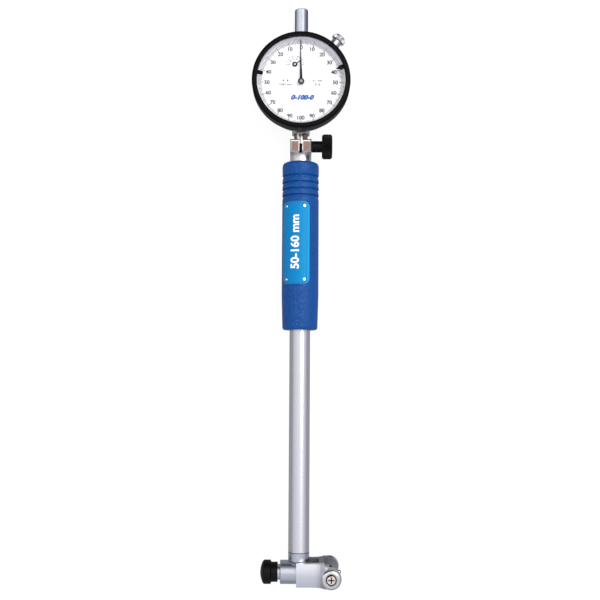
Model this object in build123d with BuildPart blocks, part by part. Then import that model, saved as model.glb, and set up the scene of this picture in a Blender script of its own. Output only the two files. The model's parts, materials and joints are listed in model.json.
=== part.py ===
from build123d import *
from math import acos, atan2, cos, degrees, pi, radians, sin, sqrt, tan
import os

# A dial bore gauge. It is drawn with X to the right, Y up its tube to the dial and Z
# towards the reader of the dial, from the point where the measuring axis meets the
# tube's axis. At the end the whole gauge is laid on its back as it comes to rest.
# All sizes are in millimetres.

# Clearances
running_gap = 0.05
assembly_gap = 0.05
contact_gap = 0.03
cut_margin = 1.0
measuring_travel = 0.8

# Tube and push rod
tube_radius = 6.0
tube_bore = 4.5
tube_bottom = 11.0
tube_top = 231.0
rod_radius = 1.5
rod_tip_radius = 0.8
rod_tip_length = 3.0
rod_collar_radius = 2.9
rod_collar_height = 1.5
rod_collar_y = 185.0
guide_length = 8.0
lower_guide_y = 60.0
upper_guide_y = 205.0
rod_spring_wire = 0.5
rod_spring_turns = 7

# Handle with its label plate
handle_bottom = 137.9
handle_top = 236.4
handle_radius = 10.75
handle_end_radius = 10.2
handle_taper_top = 158.0
handle_corner = 1.6
handle_top_corner = 2.6
groove_first_y = 216.7
groove_pitch = 3.87
groove_count = 4
groove_above = 0.72
groove_below = 0.48
groove_depth = 0.5
label_bottom = 163.9
label_top = 212.1
label_thick = 0.4
label_turn = 17.0
label_half_angle = 45.0
label_corner = 3.0
rivet_half_angle = 29.4
rivet_inset = 2.7
rivet_head_radius = 0.95
rivet_head_height = 0.4
rivet_head_taper = 30
rivet_shank_radius = 0.6
rivet_shank_length = 2.6

# Split clamp for the indicator's stem
sleeve_radius = 6.25
sleeve_top = 248.7
sleeve_spigot_bottom = 222.0
sleeve_bore = 3.0
stem_seat_y = 233.5
ear_bottom = 241.1
ear_half_width = 6.25
ear_front = 11.0
ear_chamfer = 0.7
slot_width = 1.8
slot_bottom = 240.4
clamp_screw_z = 7.4
clamp_screw_radius = 2.0
clamp_collar_radius = 3.3
clamp_collar_length = 6.1
clamp_head_radius = 7.2
clamp_head_length = 5.9
clamp_head_round = 0.9

# Indicator: stem, case and cover
dial_y = 283.2
stem_radius = 4.0
stem_bottom = 234.0
stem_bore = 2.65
bush_length = 5.5
case_radius = 24.9
case_wall = 1.6
case_back = -8.5
case_front = 7.9
stem_boss_radius = 5.2
stem_boss_bottom = 253.8
boss_inside = 0.5
boss_root = 0.5
cap_boss_top = 311.3
cover_thick = 1.5
cover_step = 0.2
cover_screw_count = 4
cover_screw_inset = 1.0
cover_boss_radius = 1.9
cover_boss_end = 0.6
cover_screw_radius = 0.8
cover_screw_head = 1.5
cover_screw_length = 3.6
cover_screw_head_height = 0.8

# Spindle, its tip, bushes and cap
spindle_radius = 2.0
spindle_bottom = 231.5
spindle_above_boss = 9.7
tip_flange_radius = 2.2
tip_flange_height = 1.4
tip_ball_radius = 1.1
tip_stud_radius = 1.2
tip_stud_length = 3.5
lever_pin_radius = 0.6
lever_pin_front = 4.1
upper_bush_radius = 2.85
upper_bush_above_boss = 5.7
cap_radius = 4.0
cap_bore = 2.9
cap_length = 19.2
cap_wall = 1.4
cap_chamfer = 0.5
spring_offset = 5.5
spring_post_radius = 1.2
spring_post_length = 3.4
return_spring_wire = 0.4
return_spring_turns = 12
bracket_y = 287.0

# Movement
plate_room = 0.7
rear_plate_z = 2.4
plate_thick = 0.8
front_plate_z = 6.2
lug_radius = 2.6
lug_inset = 1.5
lug_back = -3.0
plate_screw_inset = 1.4
plate_screw_radius = 0.7
plate_screw_head = 1.2
plate_screw_depth = 3.0
plate_screw_head_height = 0.6
plate_slot_width = 1.8
plate_slot_length = 4.2
lug_angles = (30, 150, 250)
pillar_inset = 2.6
pillar_radius = 1.3
pillar_angles = (0, 180, 300)
arbor_radius = 0.4
centre_arbor_radius = 0.5
pivot_gap = 0.06
wheel_thick = 0.4
lever_z = 3.5
lever_thick = 0.5
wheel_z = 4.6
pinion_side = 0.2
sector_pinion_side = 0.1
pinion_teeth = 12
wheel_teeth = 96
counter_teeth = 120
sector_teeth = 120
train_module = 0.1727
sector_module = 0.2
sector_half_count = 6
pressure_angle = 20.0
tooth_backlash = 0.02
wheel_addendum = 0.8
pinion_addendum = 0.9
dedendum = 1.15
lever_arm = 2.546
lever_half_swing = 9.0
lever_pivot_drop = 20.6
lever_hub = 1.2
lever_arm_width = 1.0
lever_arm_length = 3.4
sector_rim = 1.6
spoke_half_angle = 5.0
spoke_root = 0.3
counter_hand_x = -3.76
counter_hand_y = 10.76
hairspring_z = 5.35
hairspring_height = 0.35
hairspring_wire = 0.1
hairspring_turns = 5
hairspring_outer = 3.4
collet_radius = 0.8
collet_margin = 0.05
stud_radius = 0.35

# Dial, hands, bezel and crystal
dial_z = 8.1
dial_thick = 0.5
disc_radius = 17.9
ring_gap = 0.1
dial_foot_radius = 0.8
dial_foot_reach = 13.0
dial_foot_angles = (-20, 160)
hand_length = 25.4
hand_z = 10.1
hand_thick = 0.2
hand_root_width = 1.5
hand_tip_width = 0.22
hand_turn = -1.3
hand_hub_radius = 1.85
hand_core_radius = 1.0
arbor_set_back = 0.2
arbor_hole_gap = 0.7
hand_hub_back = 9.8
hand_hub_front = 11.3
counter_turn = 55.0
counter_length = 4.1
counter_z = 9.1
counter_hub_radius = 1.5
counter_hub_front = 9.5
counter_root_width = 0.8
bezel_overhang = 3.9
bezel_back = 5.6
bezel_front = 15.0
bezel_chamfer = 1.0
bezel_edge = 0.4
bezel_seat = 1.5
bezel_lip = 0.65
lip_back = 14.2
crystal_back = 12.6
crystal_front = 13.6
spacer_wall = 0.5
marker_thick = 0.4
marker_tail_room = 0.3
left_marker_turn = -80.5
left_marker_length = 3.2
left_marker_width = 2.4
right_marker_turn = 72.3
right_marker_length = 4.5
right_marker_width = 2.6
wire_ring_z = 6.5
wire_ring_half = 0.4
wire_ring_inside = 0.45
wire_ring_outside = 0.5
wire_groove_depth = 0.55

# Clamp that locks the bezel
lock_angle = 52.0
lock_z = 2.0
lock_screw_radius = 1.5
lock_boss_radius = 3.0
lock_boss_outer = 34.8
lock_knob_radius = 4.2
lock_knob_length = 3.5
lock_cap_radius = 2.9
lock_cap_length = 0.9
lock_cap_round_length = 0.3
lock_cap_round = 0.8
lock_knob_edge = 0.4
shoe_inset = 0.2
shoe_room = 0.1
shoe_half_width = 2.1
shoe_back = 0.0
shoe_front = 7.4

# Head
head_radius = 6.65
head_left = -10.6
head_right = 4.4
head_edge = 0.4
collar_bottom = 6.2
collar_rim = 0.5
spigot_top = 20.0
stub_radius = 4.35
stub_left = -14.5
socket_radius = 2.5
socket_right = -6.0
barrel_radius = 4.2
barrel_right = 17.6
crank_arm = 2.8
crank_half_swing = 8.19
crank_hub = 1.15
crank_tip = 0.55
crank_half_width = 0.35
crank_thick = 1.8
crank_pin_radius = 0.6
crank_pin_half = 5.5
crank_cavity = 1.0
crank_tip_room = 0.65
crank_hub_room = 0.45
plunger_nose_room = 0.3
plunger_end_room = 0.1
plunger_radius = 2.5
plunger_shoulder_x = 15.4
plunger_head_x = 5.8
plunger_nose_radius = 1.0
contact_radius = 1.4
contact_reach = 24.26
nose_bush_radius = 3.2
nut_left = -20.3
nut_dome_left = -21.85
nut_step_x = -15.4
nut_right = -11.95
nut_radius = 6.7
nut_neck_radius = 5.55
nut_chamfer = 0.6
nut_end_gap = 1.0

# Centring bridge
bridge_left = -1.4
bridge_half_height = 6.4
bridge_half_depth = 10.7
bridge_inner_depth = 6.8
bridge_cross_left = 11.5
bridge_cross_right = 14.6
bridge_flare_x = 8.6
bridge_travel = 4.0
arm_outer_z = 17.3
arm_inner_z = 13.3
arm_round = 5.3
arm_shoulder = 1.0
roller_x = 17.9
roller_radius = 5.75
roller_outer_z = 21.45
roller_round = 0.7
roller_recess_radius = 3.4
roller_recess_depth = 0.55
roller_screw_radius = 1.5
roller_screw_head = 3.0
roller_screw_head_outer = 22.1
roller_head_round_height = 0.5
roller_head_round = 0.8
recess_width = 0.7
recess_length = 3.6
recess_depth = 0.6
bridge_spring_wire = 0.6
bridge_spring_turns = 4
bridge_spring_radius = 5.3
stop_screw_x = 13.0
stop_screw_radius = 1.0
stop_groove_depth = 1.0

# Derived places
wheel_reach = train_module * (wheel_teeth + pinion_teeth) / 2
sector_reach = sector_module * (sector_teeth + pinion_teeth) / 2
lever_pivot = (lever_arm, -lever_pivot_drop)
pivot_distance = sqrt(lever_pivot[0] ** 2 + lever_pivot[1] ** 2)
pivot_angle = degrees(atan2(lever_pivot[1], lever_pivot[0]))
arm_cosine = (wheel_reach**2 + pivot_distance**2 - sector_reach**2) / (
    2 * wheel_reach * pivot_distance
)
wheel_angle = pivot_angle - degrees(acos(arm_cosine))
wheel_centre = (wheel_reach * cos(radians(wheel_angle)), wheel_reach * sin(radians(wheel_angle)))
counter_reach = train_module * (counter_teeth + pinion_teeth) / 2
counter_angle = degrees(atan2(counter_hand_y, counter_hand_x))
counter_centre = (
    counter_reach * cos(radians(counter_angle)),
    counter_reach * sin(radians(counter_angle)),
)
case_inner = case_radius - case_wall
cover_radius = case_radius - cover_step
cover_screw_reach = case_inner - cover_screw_inset
shoe_inner = case_inner + shoe_inset
shoe_outer = case_radius - shoe_room
wire_ring_inner = case_radius - wire_ring_inside
wire_ring_outer = case_radius + wire_ring_outside
plate_radius = case_inner - plate_room
plate_screw_reach = plate_radius - plate_screw_inset
pillar_reach = plate_radius - pillar_inset
lug_reach = case_inner - lug_inset
bezel_bore = case_radius + 2 * running_gap
bezel_radius = case_radius + bezel_overhang
bezel_inner = case_radius + bezel_seat
bezel_opening = bezel_inner - bezel_lip
ring_outer = bezel_inner - assembly_gap
spacer_inner = ring_outer - spacer_wall
marker_outer = bezel_inner - marker_tail_room
spindle_top = cap_boss_top + spindle_above_boss
upper_bush_top = cap_boss_top + upper_bush_above_boss
cap_top = cap_boss_top + cap_length
case_inside_bottom = dial_y - case_inner
case_inside_top = dial_y + case_inner
rear_plate_front = rear_plate_z + plate_thick
front_plate_front = front_plate_z + plate_thick
crank_sine = sin(radians(crank_half_swing))
rod_bottom = crank_arm - crank_arm * crank_sine + crank_tip + contact_gap
plunger_left = crank_arm + crank_arm * crank_sine + crank_tip + contact_gap
tip_bottom = spindle_bottom - tip_flange_height - tip_ball_radius
rod_top = tip_bottom - contact_gap
lever_pin_drop = (
    lever_arm * tan(radians(lever_half_swing))
    + (lever_pin_radius + contact_gap) / cos(radians(lever_half_swing))
)
lever_pin_y = dial_y + lever_pivot[1] - lever_pin_drop
clamp_screw_y = (ear_bottom + sleeve_top) / 2

DIAL_AXIS = Axis((0, dial_y, 0), (0, 0, 1))
DIAL_SECTION = Plane(origin=(0, dial_y, 0), x_dir=(1, 0, 0), z_dir=(0, -1, 0))
ROLLER_AXIS = Axis((roller_x, 0, 0), (0, 0, 1))
ROLLER_SECTION = Plane(origin=(roller_x, 0, 0), x_dir=(1, 0, 0), z_dir=(0, -1, 0))
LOCK_DIRECTION = (cos(radians(lock_angle)), sin(radians(lock_angle)), 0)
LOCK_ORIGIN = (0, dial_y, lock_z)
LOCK_AXIS = Axis(LOCK_ORIGIN, LOCK_DIRECTION)
LOCK_SECTION = Plane(
    origin=LOCK_ORIGIN,
    x_dir=(0, 0, 1),
    z_dir=(-sin(radians(lock_angle)), cos(radians(lock_angle)), 0),
)
SHOE_SEAT = Plane(origin=(0, dial_y, 0), x_dir=LOCK_DIRECTION, z_dir=(0, 0, 1))
CLAMP_AXIS = Axis((0, clamp_screw_y, clamp_screw_z), (1, 0, 0))
CLAMP_SECTION = Plane(origin=(0, clamp_screw_y, clamp_screw_z))


def tube_plane(height):
    """A plane across the tube. Its own y points away from the reader of the dial."""
    return Plane(origin=(0, height, 0), x_dir=(1, 0, 0), z_dir=(0, 1, 0))


def dial_plane(depth, centre=(0, 0)):
    """A plane parallel to the dial, centred on the dial or on a point beside its centre."""
    return Plane(origin=(centre[0], dial_y + centre[1], depth), x_dir=(1, 0, 0), z_dir=(0, 0, 1))


def turned(corners, plane=Plane.XY, axis=Axis.Y):
    """A solid turned about an axis from the corners of half its section."""
    with BuildPart() as blank:
        with BuildSketch(plane):
            with BuildLine():
                Polyline(corners, close=True)
            make_face()
        revolve(axis=axis)
    return blank.part


def sleeve(inner, outer, low, high):
    """Corners of a plain ring or, with no inner radius, of a plain disc."""
    return [(inner, low), (outer, low), (outer, high), (inner, high)]


def coil(start, direction, length, radius, wire, turns):
    """A coil spring from a start point along a direction."""
    travel = length - wire
    with BuildPart() as spring:
        with BuildLine() as path:
            Helix(travel / turns, travel, radius, center=start, direction=direction)
        with BuildSketch(Plane(origin=path.line @ 0, z_dir=path.line % 0)):
            Circle(wire / 2)
        sweep(path=path.line, is_frenet=True)
    return spring.part


def tooth_corners(module, teeth, numbers, phase, addendum):
    """Corners of involute teeth, counterclockwise, with the tooth number 0 at a phase angle."""
    pitch_radius = module * teeth / 2
    base_radius = pitch_radius * cos(radians(pressure_angle))
    root_radius = pitch_radius - dedendum * module
    tip_radius = pitch_radius + addendum * module
    pitch_half = pi / (2 * teeth) - tooth_backlash / pitch_radius / 2
    pitch_involute = tan(radians(pressure_angle)) - radians(pressure_angle)
    flank = []
    for radius in (root_radius, pitch_radius, tip_radius):
        contact = acos(min(1.0, base_radius / radius))
        flank.append((radius, pitch_half + pitch_involute - (tan(contact) - contact)))
    corners = []
    for number in numbers:
        middle = radians(phase) + 2 * pi * number / teeth
        for radius, half in flank:
            corners.append((radius * cos(middle - half), radius * sin(middle - half)))
        for radius, half in reversed(flank):
            corners.append((radius * cos(middle + half), radius * sin(middle + half)))
    return corners


def gear(module, teeth, phase, addendum, centre, low, high):
    """A toothed disc in the movement, between two depths."""
    with BuildPart() as wheel:
        with BuildSketch(dial_plane(low, centre)):
            with BuildLine():
                Polyline(tooth_corners(module, teeth, range(teeth), phase, addendum), close=True)
            make_face()
        extrude(amount=high - low)
    return wheel.part


def meshed_phase(direction, phase, teeth, other_teeth):
    """The phase of a gear that lies in a direction from one whose phase is given."""
    return direction + 180 + 180 / other_teeth + (direction - phase) * teeth / other_teeth


def post(centre, radius, low, high):
    """A cylinder in the movement, between two depths."""
    with BuildPart() as pin:
        with BuildSketch(dial_plane(low, centre)):
            Circle(radius)
        extrude(amount=high - low)
    return pin.part


def around(reach, angle):
    """A point round the dial's centre, counterclockwise from the right."""
    return (reach * cos(radians(angle)), reach * sin(radians(angle)))


# Straight tube that joins the head to the clamp
with BuildPart() as main_tube:
    add(turned(sleeve(tube_bore, tube_radius, tube_bottom, tube_top)))

# Blue grip with four grooves near its top and a gentle taper at its foot
with BuildPart() as handle_grip:
    with BuildSketch(Plane.XY):
        with BuildLine():
            Polyline(
                (tube_radius + running_gap, handle_bottom),
                (handle_end_radius, handle_bottom),
                (handle_radius, handle_taper_top),
                (handle_radius, handle_top),
                (tube_radius + running_gap, handle_top),
                close=True,
            )
        make_face()
        fillet(vertices().group_by(Axis.Y)[-1].sort_by(Axis.X)[-1:], handle_top_corner)
        fillet(vertices().group_by(Axis.Y)[0].sort_by(Axis.X)[-1:], handle_corner)
        for number in range(groove_count):
            groove_y = groove_first_y + number * groove_pitch
            with BuildLine():
                Polyline(
                    (handle_radius + groove_depth, groove_y + 2 * groove_above),
                    (handle_radius - groove_depth, groove_y),
                    (handle_radius + groove_depth, groove_y - 2 * groove_below),
                    close=True,
                )
            make_face(mode=Mode.SUBTRACT)
    revolve(axis=Axis.Y)
    with BuildSketch(tube_plane(tube_top)):
        Circle(sleeve_radius + assembly_gap)
    extrude(amount=handle_top - tube_top, mode=Mode.SUBTRACT)

# Curved label plate on the grip, turned a little to the left
LABEL_FACE = Plane(
    origin=(0, (label_bottom + label_top) / 2, 0),
    x_dir=(cos(radians(label_turn)), 0, sin(radians(label_turn))),
    z_dir=(-sin(radians(label_turn)), 0, cos(radians(label_turn))),
)
label_outer = handle_radius + label_thick
label_width = 2 * label_outer * sin(radians(label_half_angle))
with BuildPart() as label_plate:
    add(turned(sleeve(handle_radius, label_outer, label_bottom, label_top)))
    with BuildSketch(LABEL_FACE):
        RectangleRounded(label_width, label_top - label_bottom, label_corner)
    extrude(amount=2 * handle_radius, mode=Mode.INTERSECT)

# Four round-headed rivets through the plate into the grip
with BuildPart() as label_rivets:
    for turn in (-rivet_half_angle, rivet_half_angle):
        angle = radians(label_turn - turn)
        for height in (label_bottom + rivet_inset, label_top - rivet_inset):
            seat = Plane(
                origin=(0, height, 0),
                x_dir=(0, 1, 0),
                z_dir=(-sin(angle), 0, cos(angle)),
            )
            with BuildSketch(seat.offset(label_outer - label_thick - rivet_shank_length)):
                Circle(rivet_shank_radius)
            extrude(amount=rivet_shank_length + label_thick)
            with BuildSketch(seat.offset(label_outer)):
                Circle(rivet_head_radius)
            extrude(amount=rivet_head_height, taper=rivet_head_taper)

label_plate.part = label_plate.part - label_rivets.part
handle_grip.part = handle_grip.part - label_rivets.part

# Sleeve on top of the tube, split in front, with two ears for the thumb screw
with BuildPart() as clamp_sleeve:
    add(turned(sleeve(0, tube_bore - assembly_gap, sleeve_spigot_bottom, tube_top)))
    add(turned(sleeve(0, sleeve_radius, tube_top, sleeve_top)))
    with BuildSketch(tube_plane(ear_bottom)):
        with Locations((0, -ear_front / 2)):
            Rectangle(2 * ear_half_width, ear_front)
    extrude(amount=sleeve_top - ear_bottom)
    chamfer(edges().group_by(Axis.Z)[-1], ear_chamfer)
    add(turned(sleeve(0, sleeve_bore, sleeve_spigot_bottom, stem_seat_y)), mode=Mode.SUBTRACT)
    add(
        turned(sleeve(0, stem_radius + contact_gap, stem_seat_y, sleeve_top)),
        mode=Mode.SUBTRACT,
    )
    with BuildSketch(tube_plane(slot_bottom)):
        with Locations((0, -ear_front / 2)):
            Rectangle(slot_width, ear_front)
    extrude(amount=sleeve_top - slot_bottom, mode=Mode.SUBTRACT)
    with BuildSketch(Plane.YZ.offset(-ear_half_width)):
        with Locations((clamp_screw_y, clamp_screw_z)):
            Circle(clamp_screw_radius + running_gap)
    extrude(amount=2 * ear_half_width, mode=Mode.SUBTRACT)

# Thumb screw with a collar against the right ear and a knurled head
collar_end = ear_half_width + assembly_gap + clamp_collar_length
head_end = collar_end + clamp_head_length
with BuildPart() as clamp_screw:
    add(
        turned(
            [
                (-ear_half_width, 0),
                (-ear_half_width, clamp_screw_radius),
                (ear_half_width + assembly_gap, clamp_screw_radius),
                (ear_half_width + assembly_gap, clamp_collar_radius),
                (collar_end, clamp_collar_radius),
                (collar_end, clamp_head_radius - clamp_head_round),
                (collar_end + clamp_head_round, clamp_head_radius),
                (head_end - clamp_head_round, clamp_head_radius),
                (head_end, clamp_head_radius - clamp_head_round),
                (head_end, 0),
            ],
            CLAMP_SECTION,
            CLAMP_AXIS,
        )
    )

# Stem of the indicator and the bushes that guide the spindle
stem_top = case_inside_bottom + boss_inside
with BuildPart() as indicator_stem:
    add(turned(sleeve(stem_bore, stem_radius, stem_bottom, stem_top)))

with BuildPart() as lower_bush:
    add(
        turned(
            sleeve(spindle_radius + running_gap, stem_bore, stem_bottom, stem_bottom + bush_length)
        )
    )

with BuildPart() as middle_bush:
    add(
        turned(sleeve(spindle_radius + running_gap, stem_bore, stem_top - bush_length, stem_top))
    )

with BuildPart() as upper_bush:
    add(
        turned(
            sleeve(
                spindle_radius + running_gap,
                upper_bush_radius,
                case_inside_top - boss_inside,
                upper_bush_top,
            )
        )
    )

# Cup-shaped case with bosses for stem, dust cap and bezel clamp, and lugs for the movement
with BuildPart() as indicator_case:
    add(turned(sleeve(0, case_radius, case_back, case_front), DIAL_SECTION, DIAL_AXIS))
    add(turned(sleeve(0, stem_boss_radius, stem_boss_bottom, case_inside_bottom)))
    add(turned(sleeve(0, stem_boss_radius, case_inside_top, cap_boss_top)))
    add(turned(sleeve(0, lock_boss_radius, case_inner, lock_boss_outer), LOCK_SECTION, LOCK_AXIS))
    add(
        turned(sleeve(0, case_inner, case_back, case_front), DIAL_SECTION, DIAL_AXIS),
        mode=Mode.SUBTRACT,
    )
    add(turned(sleeve(0, stem_boss_radius, case_inside_bottom - boss_root, stem_top)))
    add(
        turned(
            sleeve(0, stem_boss_radius, case_inside_top - boss_inside, case_inside_top + boss_root)
        )
    )
    with BuildSketch(tube_plane(case_inside_bottom - boss_root)):
        with Locations((0, spring_offset)):
            Circle(spring_post_radius)
    extrude(amount=spring_post_length + boss_inside)
    for angle in lug_angles:
        add(post(around(lug_reach, angle), lug_radius, lug_back, rear_plate_z))
        add(
            post(
                around(plate_screw_reach, angle),
                plate_screw_radius,
                rear_plate_z - plate_screw_depth,
                rear_plate_z,
            ),
            mode=Mode.SUBTRACT,
        )
    add(turned(sleeve(0, stem_radius, stem_boss_bottom, stem_top)), mode=Mode.SUBTRACT)
    add(
        turned(sleeve(0, upper_bush_radius, case_inside_top - boss_inside, cap_boss_top)),
        mode=Mode.SUBTRACT,
    )
    add(
        turned(
            sleeve(
                case_radius - wire_groove_depth,
                case_radius + cut_margin,
                wire_ring_z - wire_groove_depth,
                wire_ring_z + wire_groove_depth,
            ),
            DIAL_SECTION,
            DIAL_AXIS,
        ),
        mode=Mode.SUBTRACT,
    )
    add(
        turned(
            sleeve(0, lock_screw_radius + running_gap, shoe_inner, lock_boss_outer),
            LOCK_SECTION,
            LOCK_AXIS,
        ),
        mode=Mode.SUBTRACT,
    )
    with BuildSketch(SHOE_SEAT.offset(shoe_back - assembly_gap)):
        with Locations(((case_inner - cut_margin + case_radius + assembly_gap) / 2, 0)):
            Rectangle(
                case_radius + assembly_gap - case_inner + cut_margin,
                2 * (shoe_half_width + assembly_gap),
            )
    extrude(amount=case_front - shoe_back + assembly_gap, mode=Mode.SUBTRACT)
    for number in range(cover_screw_count):
        centre = around(cover_screw_reach, 45 + number * 360 / cover_screw_count)
        hole_end = case_back + cover_screw_length
        add(post(centre, cover_boss_radius, case_back, hole_end + cover_boss_end))
        add(post(centre, cover_screw_radius, case_back, hole_end), mode=Mode.SUBTRACT)

# Flat rear cover and its screws, sunk into it
cover_back = case_back - cover_thick
with BuildPart() as rear_cover:
    add(turned(sleeve(0, cover_radius, cover_back, case_back), DIAL_SECTION, DIAL_AXIS))
with BuildPart() as cover_screws:
    for number in range(cover_screw_count):
        centre = around(cover_screw_reach, 45 + number * 360 / cover_screw_count)
        head_front = cover_back + cover_screw_head_height
        add(post(centre, cover_screw_radius, cover_back, case_back + cover_screw_length))
        add(post(centre, cover_screw_head, cover_back, head_front))
rear_cover.part = rear_cover.part - cover_screws.part

# Spindle with the pin that lifts the lever and the bracket that the return spring pulls
bracket_z = -spring_offset
with BuildPart() as spindle:
    add(turned(sleeve(0, spindle_radius, spindle_bottom, spindle_top)))
    add(post((0, lever_pin_y - dial_y), lever_pin_radius, 0, lever_pin_front))
    add(post((0, bracket_y - dial_y), spring_post_radius, bracket_z - spring_post_radius, 0))
    with BuildSketch(tube_plane(bracket_y)):
        with Locations((0, spring_offset)):
            Circle(spring_post_radius)
    extrude(amount=-spring_post_length)
    add(
        turned(sleeve(0, tip_stud_radius, spindle_bottom, spindle_bottom + tip_stud_length)),
        mode=Mode.SUBTRACT,
    )

# Screwed-in tip with a rounded end
with BuildPart() as contact_tip:
    with BuildSketch(Plane.XY):
        with BuildLine():
            Polyline(
                (0, tip_bottom + tip_ball_radius),
                (tip_ball_radius, tip_bottom + tip_ball_radius),
                (tip_flange_radius, tip_bottom + tip_ball_radius),
                (tip_flange_radius, spindle_bottom),
                (tip_stud_radius, spindle_bottom),
                (tip_stud_radius, spindle_bottom + tip_stud_length),
                (0, spindle_bottom + tip_stud_length),
                close=True,
            )
        make_face()
        with BuildLine():
            RadiusArc(
                (tip_ball_radius, tip_bottom + tip_ball_radius), (0, tip_bottom), tip_ball_radius
            )
            Line((0, tip_bottom), (0, tip_bottom + tip_ball_radius))
            Line((0, tip_bottom + tip_ball_radius), (tip_ball_radius, tip_bottom + tip_ball_radius))
        make_face()
    revolve(axis=Axis.Y)

# Dust cap over the free end of the spindle
with BuildPart() as top_cap:
    add(
        turned(
            [
                (cap_bore, cap_boss_top),
                (cap_radius, cap_boss_top),
                (cap_radius, cap_top - cap_chamfer),
                (cap_radius - cap_chamfer, cap_top),
                (0, cap_top),
                (0, cap_top - cap_wall),
                (cap_bore, cap_top - cap_wall),
            ]
        )
    )

# Rear and front movement plate
with BuildPart() as rear_plate:
    with BuildSketch(dial_plane(rear_plate_z)):
        Circle(plate_radius)
        with Locations((0, lever_pin_y - dial_y + lever_pin_radius)):
            Rectangle(plate_slot_width, plate_slot_length, mode=Mode.SUBTRACT)
        with Locations(lever_pivot, wheel_centre, counter_centre, (0, 0)):
            Circle(centre_arbor_radius + pivot_gap, mode=Mode.SUBTRACT)
        with Locations(*[around(plate_screw_reach, angle) for angle in lug_angles]):
            Circle(plate_screw_radius, mode=Mode.SUBTRACT)
    extrude(amount=plate_thick)
with BuildPart() as front_plate:
    with BuildSketch(dial_plane(front_plate_z)):
        Circle(plate_radius)
        with Locations(lever_pivot, wheel_centre, counter_centre, (0, 0)):
            Circle(centre_arbor_radius + pivot_gap, mode=Mode.SUBTRACT)
        with Locations(*[around(pillar_reach, angle) for angle in pillar_angles]):
            Circle(plate_screw_radius, mode=Mode.SUBTRACT)
    extrude(amount=plate_thick)

# Pillars between the plates, and the screws of plates and pillars
with BuildPart() as pillars:
    for angle in pillar_angles:
        add(post(around(pillar_reach, angle), pillar_radius, rear_plate_front, front_plate_z))
        add(
            post(
                around(pillar_reach, angle),
                plate_screw_radius,
                front_plate_z - plate_screw_depth / 2,
                front_plate_z,
            ),
            mode=Mode.SUBTRACT,
        )
with BuildPart() as plate_screws:
    for angle in lug_angles:
        centre = around(plate_screw_reach, angle)
        add(post(centre, plate_screw_radius, rear_plate_z - plate_screw_depth, rear_plate_front))
        add(
            post(
                centre,
                plate_screw_head,
                rear_plate_front,
                rear_plate_front + plate_screw_head_height,
            )
        )
with BuildPart() as pillar_screws:
    for angle in pillar_angles:
        centre = around(pillar_reach, angle)
        add(post(centre, plate_screw_radius, front_plate_z - plate_screw_depth / 2, front_plate_front))
        add(
            post(
                centre,
                plate_screw_head,
                front_plate_front,
                front_plate_front + plate_screw_head_height,
            )
        )

# Gear train from the hand down to the lever. At rest every pair is in mesh.
centre_phase = 0.0
wheel_phase = meshed_phase(wheel_angle, centre_phase, pinion_teeth, wheel_teeth)
counter_phase = meshed_phase(counter_angle, centre_phase, pinion_teeth, counter_teeth)
lever_direction = degrees(
    atan2(wheel_centre[1] - lever_pivot[1], wheel_centre[0] - lever_pivot[0])
)
sector_phase = meshed_phase(lever_direction + 180, wheel_phase, pinion_teeth, sector_teeth)
pinion_low = wheel_z - pinion_side
pinion_high = wheel_z + wheel_thick + pinion_side
arbor_back = rear_plate_z + pivot_gap
with BuildPart() as centre_arbor:
    add(
        gear(
            train_module,
            pinion_teeth,
            centre_phase,
            pinion_addendum,
            (0, 0),
            pinion_low,
            pinion_high,
        )
    )
    add(post((0, 0), centre_arbor_radius, arbor_back, hand_hub_front - arbor_set_back))
with BuildPart() as intermediate_wheel:
    add(
        gear(
            train_module,
            wheel_teeth,
            wheel_phase,
            wheel_addendum,
            wheel_centre,
            wheel_z,
            wheel_z + wheel_thick,
        )
    )
    add(post(wheel_centre, arbor_radius, wheel_z, wheel_z + wheel_thick), mode=Mode.SUBTRACT)
with BuildPart() as intermediate_pinion:
    add(
        gear(
            sector_module,
            pinion_teeth,
            wheel_phase,
            pinion_addendum,
            wheel_centre,
            lever_z - sector_pinion_side,
            lever_z + lever_thick + sector_pinion_side,
        )
    )
    add(post(wheel_centre, arbor_radius, arbor_back, front_plate_front))
with BuildPart() as counter_wheel:
    add(
        gear(
            train_module,
            counter_teeth,
            counter_phase,
            wheel_addendum,
            counter_centre,
            wheel_z,
            wheel_z + wheel_thick,
        )
    )
    add(post(counter_centre, arbor_radius, wheel_z, wheel_z + wheel_thick), mode=Mode.SUBTRACT)
with BuildPart() as counter_arbor:
    add(post(counter_centre, arbor_radius, arbor_back, counter_hub_front))
    add(
        post(
            counter_centre,
            collet_radius,
            hairspring_z - collet_margin,
            hairspring_z + hairspring_height + collet_margin,
        )
    )

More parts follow.
